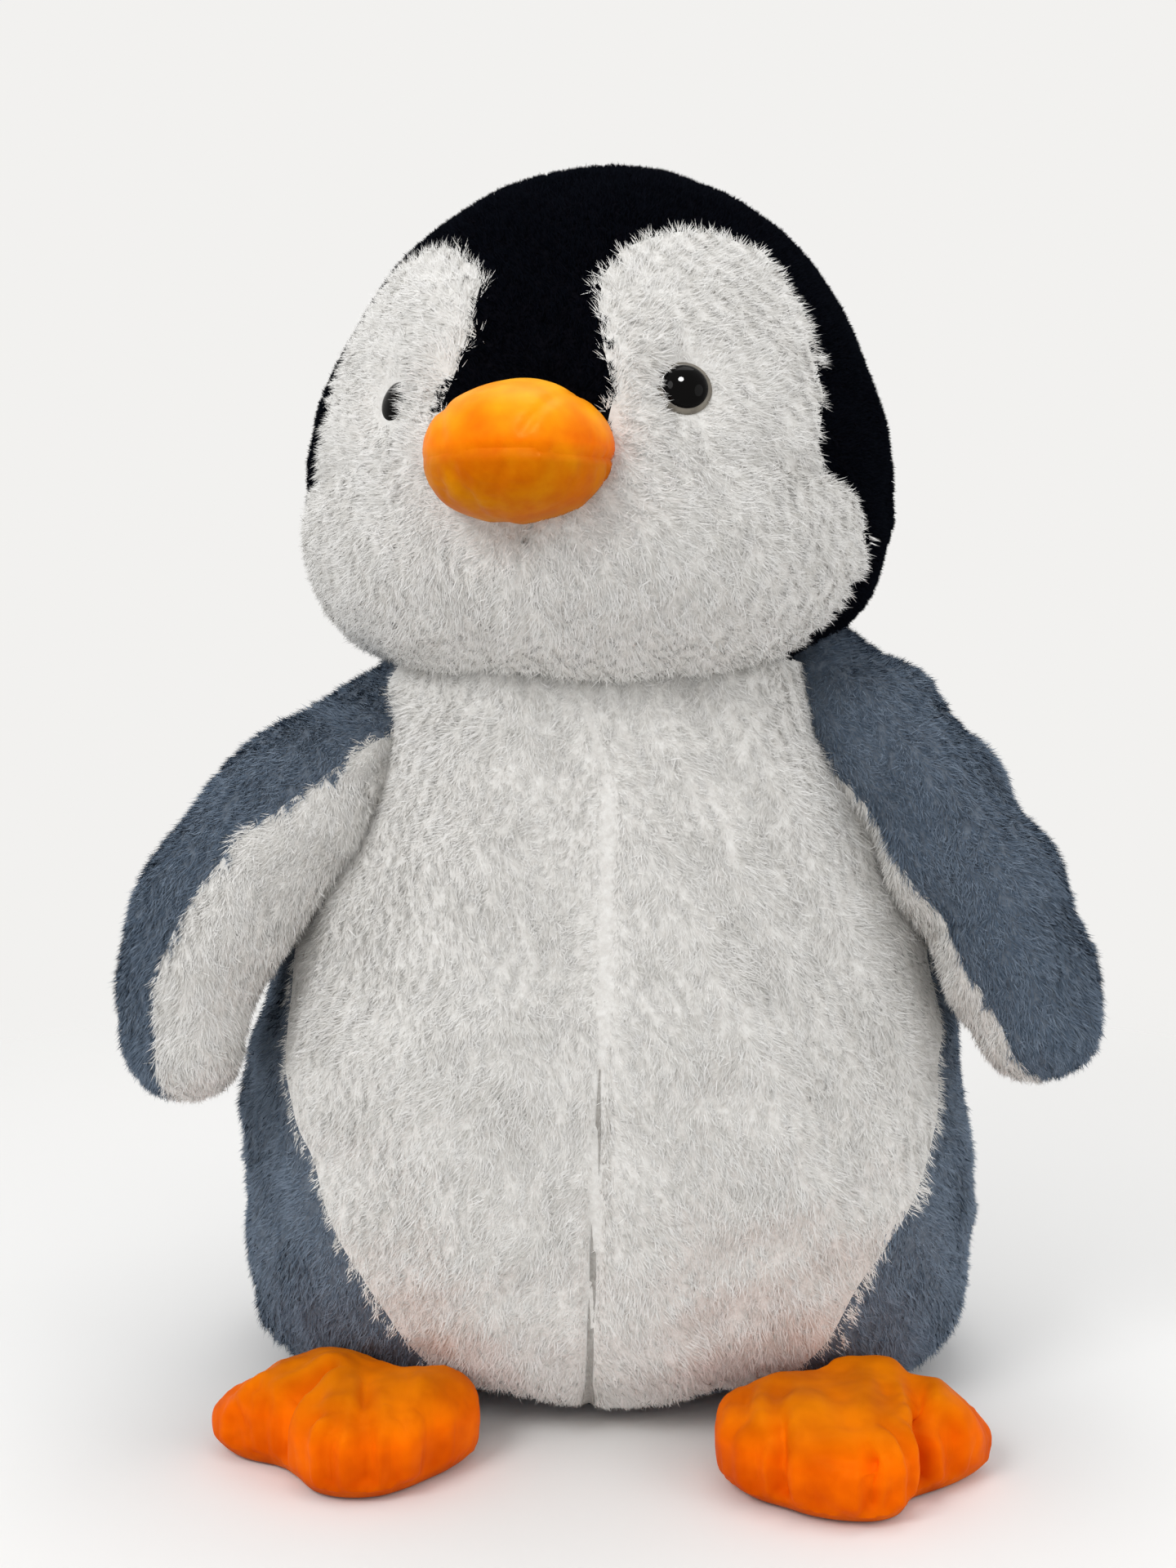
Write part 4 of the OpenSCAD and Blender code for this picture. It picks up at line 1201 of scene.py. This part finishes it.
tail_c = tail_at + np.array([0, 0.03, -0.012])
for part, a0, nodes in (
    ("upper", 0, ["tail_upper", "tail_stuffing"]), ("lower", 180, ["tail_lower"]),
):
    skin(
        f"tail_{part}_skin", tail_pt, lambda v: np.linspace(a0, a0 + 180, 30),
        np.linspace(0.03, 0.99, 30), grey_base, tail_c, "tail", nodes,
    )
count = int(22000 * AMOUNT)
_, _, P, N = scatter(tail_pt, (0, 360), (0.02, 0.98), count, rng, 0.8, 0.01, tail_c)
D = comb(P, N, np.tile([0, 0.8, -0.5], (len(P), 1)), rng, 0.4, 0.0028, 0.2)
L = rng.normal(0.012, 0.002, len(P))
W = rng.uniform(0.0008, 0.0016, len(P)) * THICKER
lift = rng.normal(38, 9, len(P))
v = 0.7 * clump(P) + 0.4 * tone(P) - 0.2
grow("tail_pile", slice(None), (P, N, D, L, W, lift), v, GREY, rng, "tail", seed=4)

# ------ what the CAD shows

for name in ("eye_washer_left", "eye_washer_right"):
    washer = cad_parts[name]
    for mat_slot in washer.material_slots:
        mat_slot.material = washer_mat
    if not washer.material_slots:
        washer.data.materials.append(washer_mat)

# ------ floor, light, camera

FLOOR = 6  # half the floor's side
FADE_FROM, FADE_TO = 0.45, 1.9  # how far out the floor fades into the background
CAMERA_AT = (-0.020, -1.600, 0.660)
CAMERA_DOWN = 6.05  # how far the camera looks down, in degrees
LENS = 43.44

corners = [(-FLOOR, -FLOOR, 0), (FLOOR, -FLOOR, 0), (FLOOR, FLOOR, 0), (-FLOOR, FLOOR, 0)]
floor = new_mesh("floor", corners, [np.array([[0, 1, 2, 3]])], [])
paper = bpy.data.materials.new("floor_paper")
paper.use_nodes = True
t = paper.node_tree
t.nodes.clear()
out_n = add(t, "OutputMaterial")
matt = add(t, "BsdfDiffuse", Color=(0.88, 0.875, 0.865, 1))
clear = add(t, "BsdfTransparent")
faded = add(t, "MixShader")
far = add(t, "VectorMath")
far.operation = "LENGTH"
fade = add(t, "MapRange", From_Min=FADE_FROM, From_Max=FADE_TO)
fade.interpolation_type = "SMOOTHSTEP"
link(add(t, "TexCoord").outputs["Object"], far.inputs[0])
link(far.outputs["Value"], fade.inputs["Value"])
link(fade.outputs["Result"], faded.inputs[0])
link(matt.outputs[0], faded.inputs[1])
link(clear.outputs[0], faded.inputs[2])
link(faded.outputs[0], out_n.inputs["Surface"])
floor.data.materials.append(paper)

world = bpy.data.worlds.new("studio")
bpy.context.scene.world = world
world.use_nodes = True
t = world.node_tree
t.nodes.clear()
out_n = add(t, "OutputWorld")
seen = add(t, "Background", Color=(0.888, 0.880, 0.864, 1), Strength=1.0)
lit = add(t, "Background", Color=(1.0, 1.0, 1.0, 1), Strength=0.76)
ray = add(t, "LightPath")
either, any_of = add(t, "Math"), add(t, "Math")
either.operation = any_of.operation = "MAXIMUM"
link(ray.outputs["Is Camera Ray"], either.inputs[0])
link(ray.outputs["Is Glossy Ray"], either.inputs[1])
link(either.outputs[0], any_of.inputs[0])
link(ray.outputs["Is Transmission Ray"], any_of.inputs[1])
both = add(t, "MixShader")
link(any_of.outputs[0], both.inputs[0])
link(lit.outputs[0], both.inputs[1])
link(seen.outputs[0], both.inputs[2])
link(both.outputs[0], out_n.inputs["Surface"])


def lamp(name, at, size, power, target=(0, 0, 0.45)):
    d = bpy.data.lights.new(name, "AREA")
    d.shape = "DISK"
    d.size = size
    d.energy = power
    o = bpy.data.objects.new(name, d)
    bpy.context.collection.objects.link(o)
    o.location = at
    way = np.array(target) - np.array(at)
    o.rotation_mode = "QUATERNION"
    o.rotation_quaternion = Vector(way).to_track_quat("-Z", "Y")
    return o


lamp("key", (-1.6, -2.0, 2.4), 1.3, 31)
lamp("fill", (2.2, -1.4, 1.5), 1.6, 11)
lamp("top", (0.2, 0.5, 2.8), 1.6, 17)

# only for the glint in the eyes and on the beak
catch = lamp("catch", (0.15, -1.35, 2.35), 0.45, 110, (0, -0.2, 0.8))
catch.visible_diffuse = False

cam_d = bpy.data.cameras.new("view")
cam_d.sensor_width = 36
cam_d.lens = LENS
cam = bpy.data.objects.new("view", cam_d)
bpy.context.collection.objects.link(cam)
cam.location = CAMERA_AT
cam.rotation_euler = (math.radians(90 - CAMERA_DOWN), 0, 0)
cam_d.clip_start, cam_d.clip_end = 0.05, 50
bpy.context.scene.camera = cam
bpy.context.scene.view_settings.view_transform = "Standard"
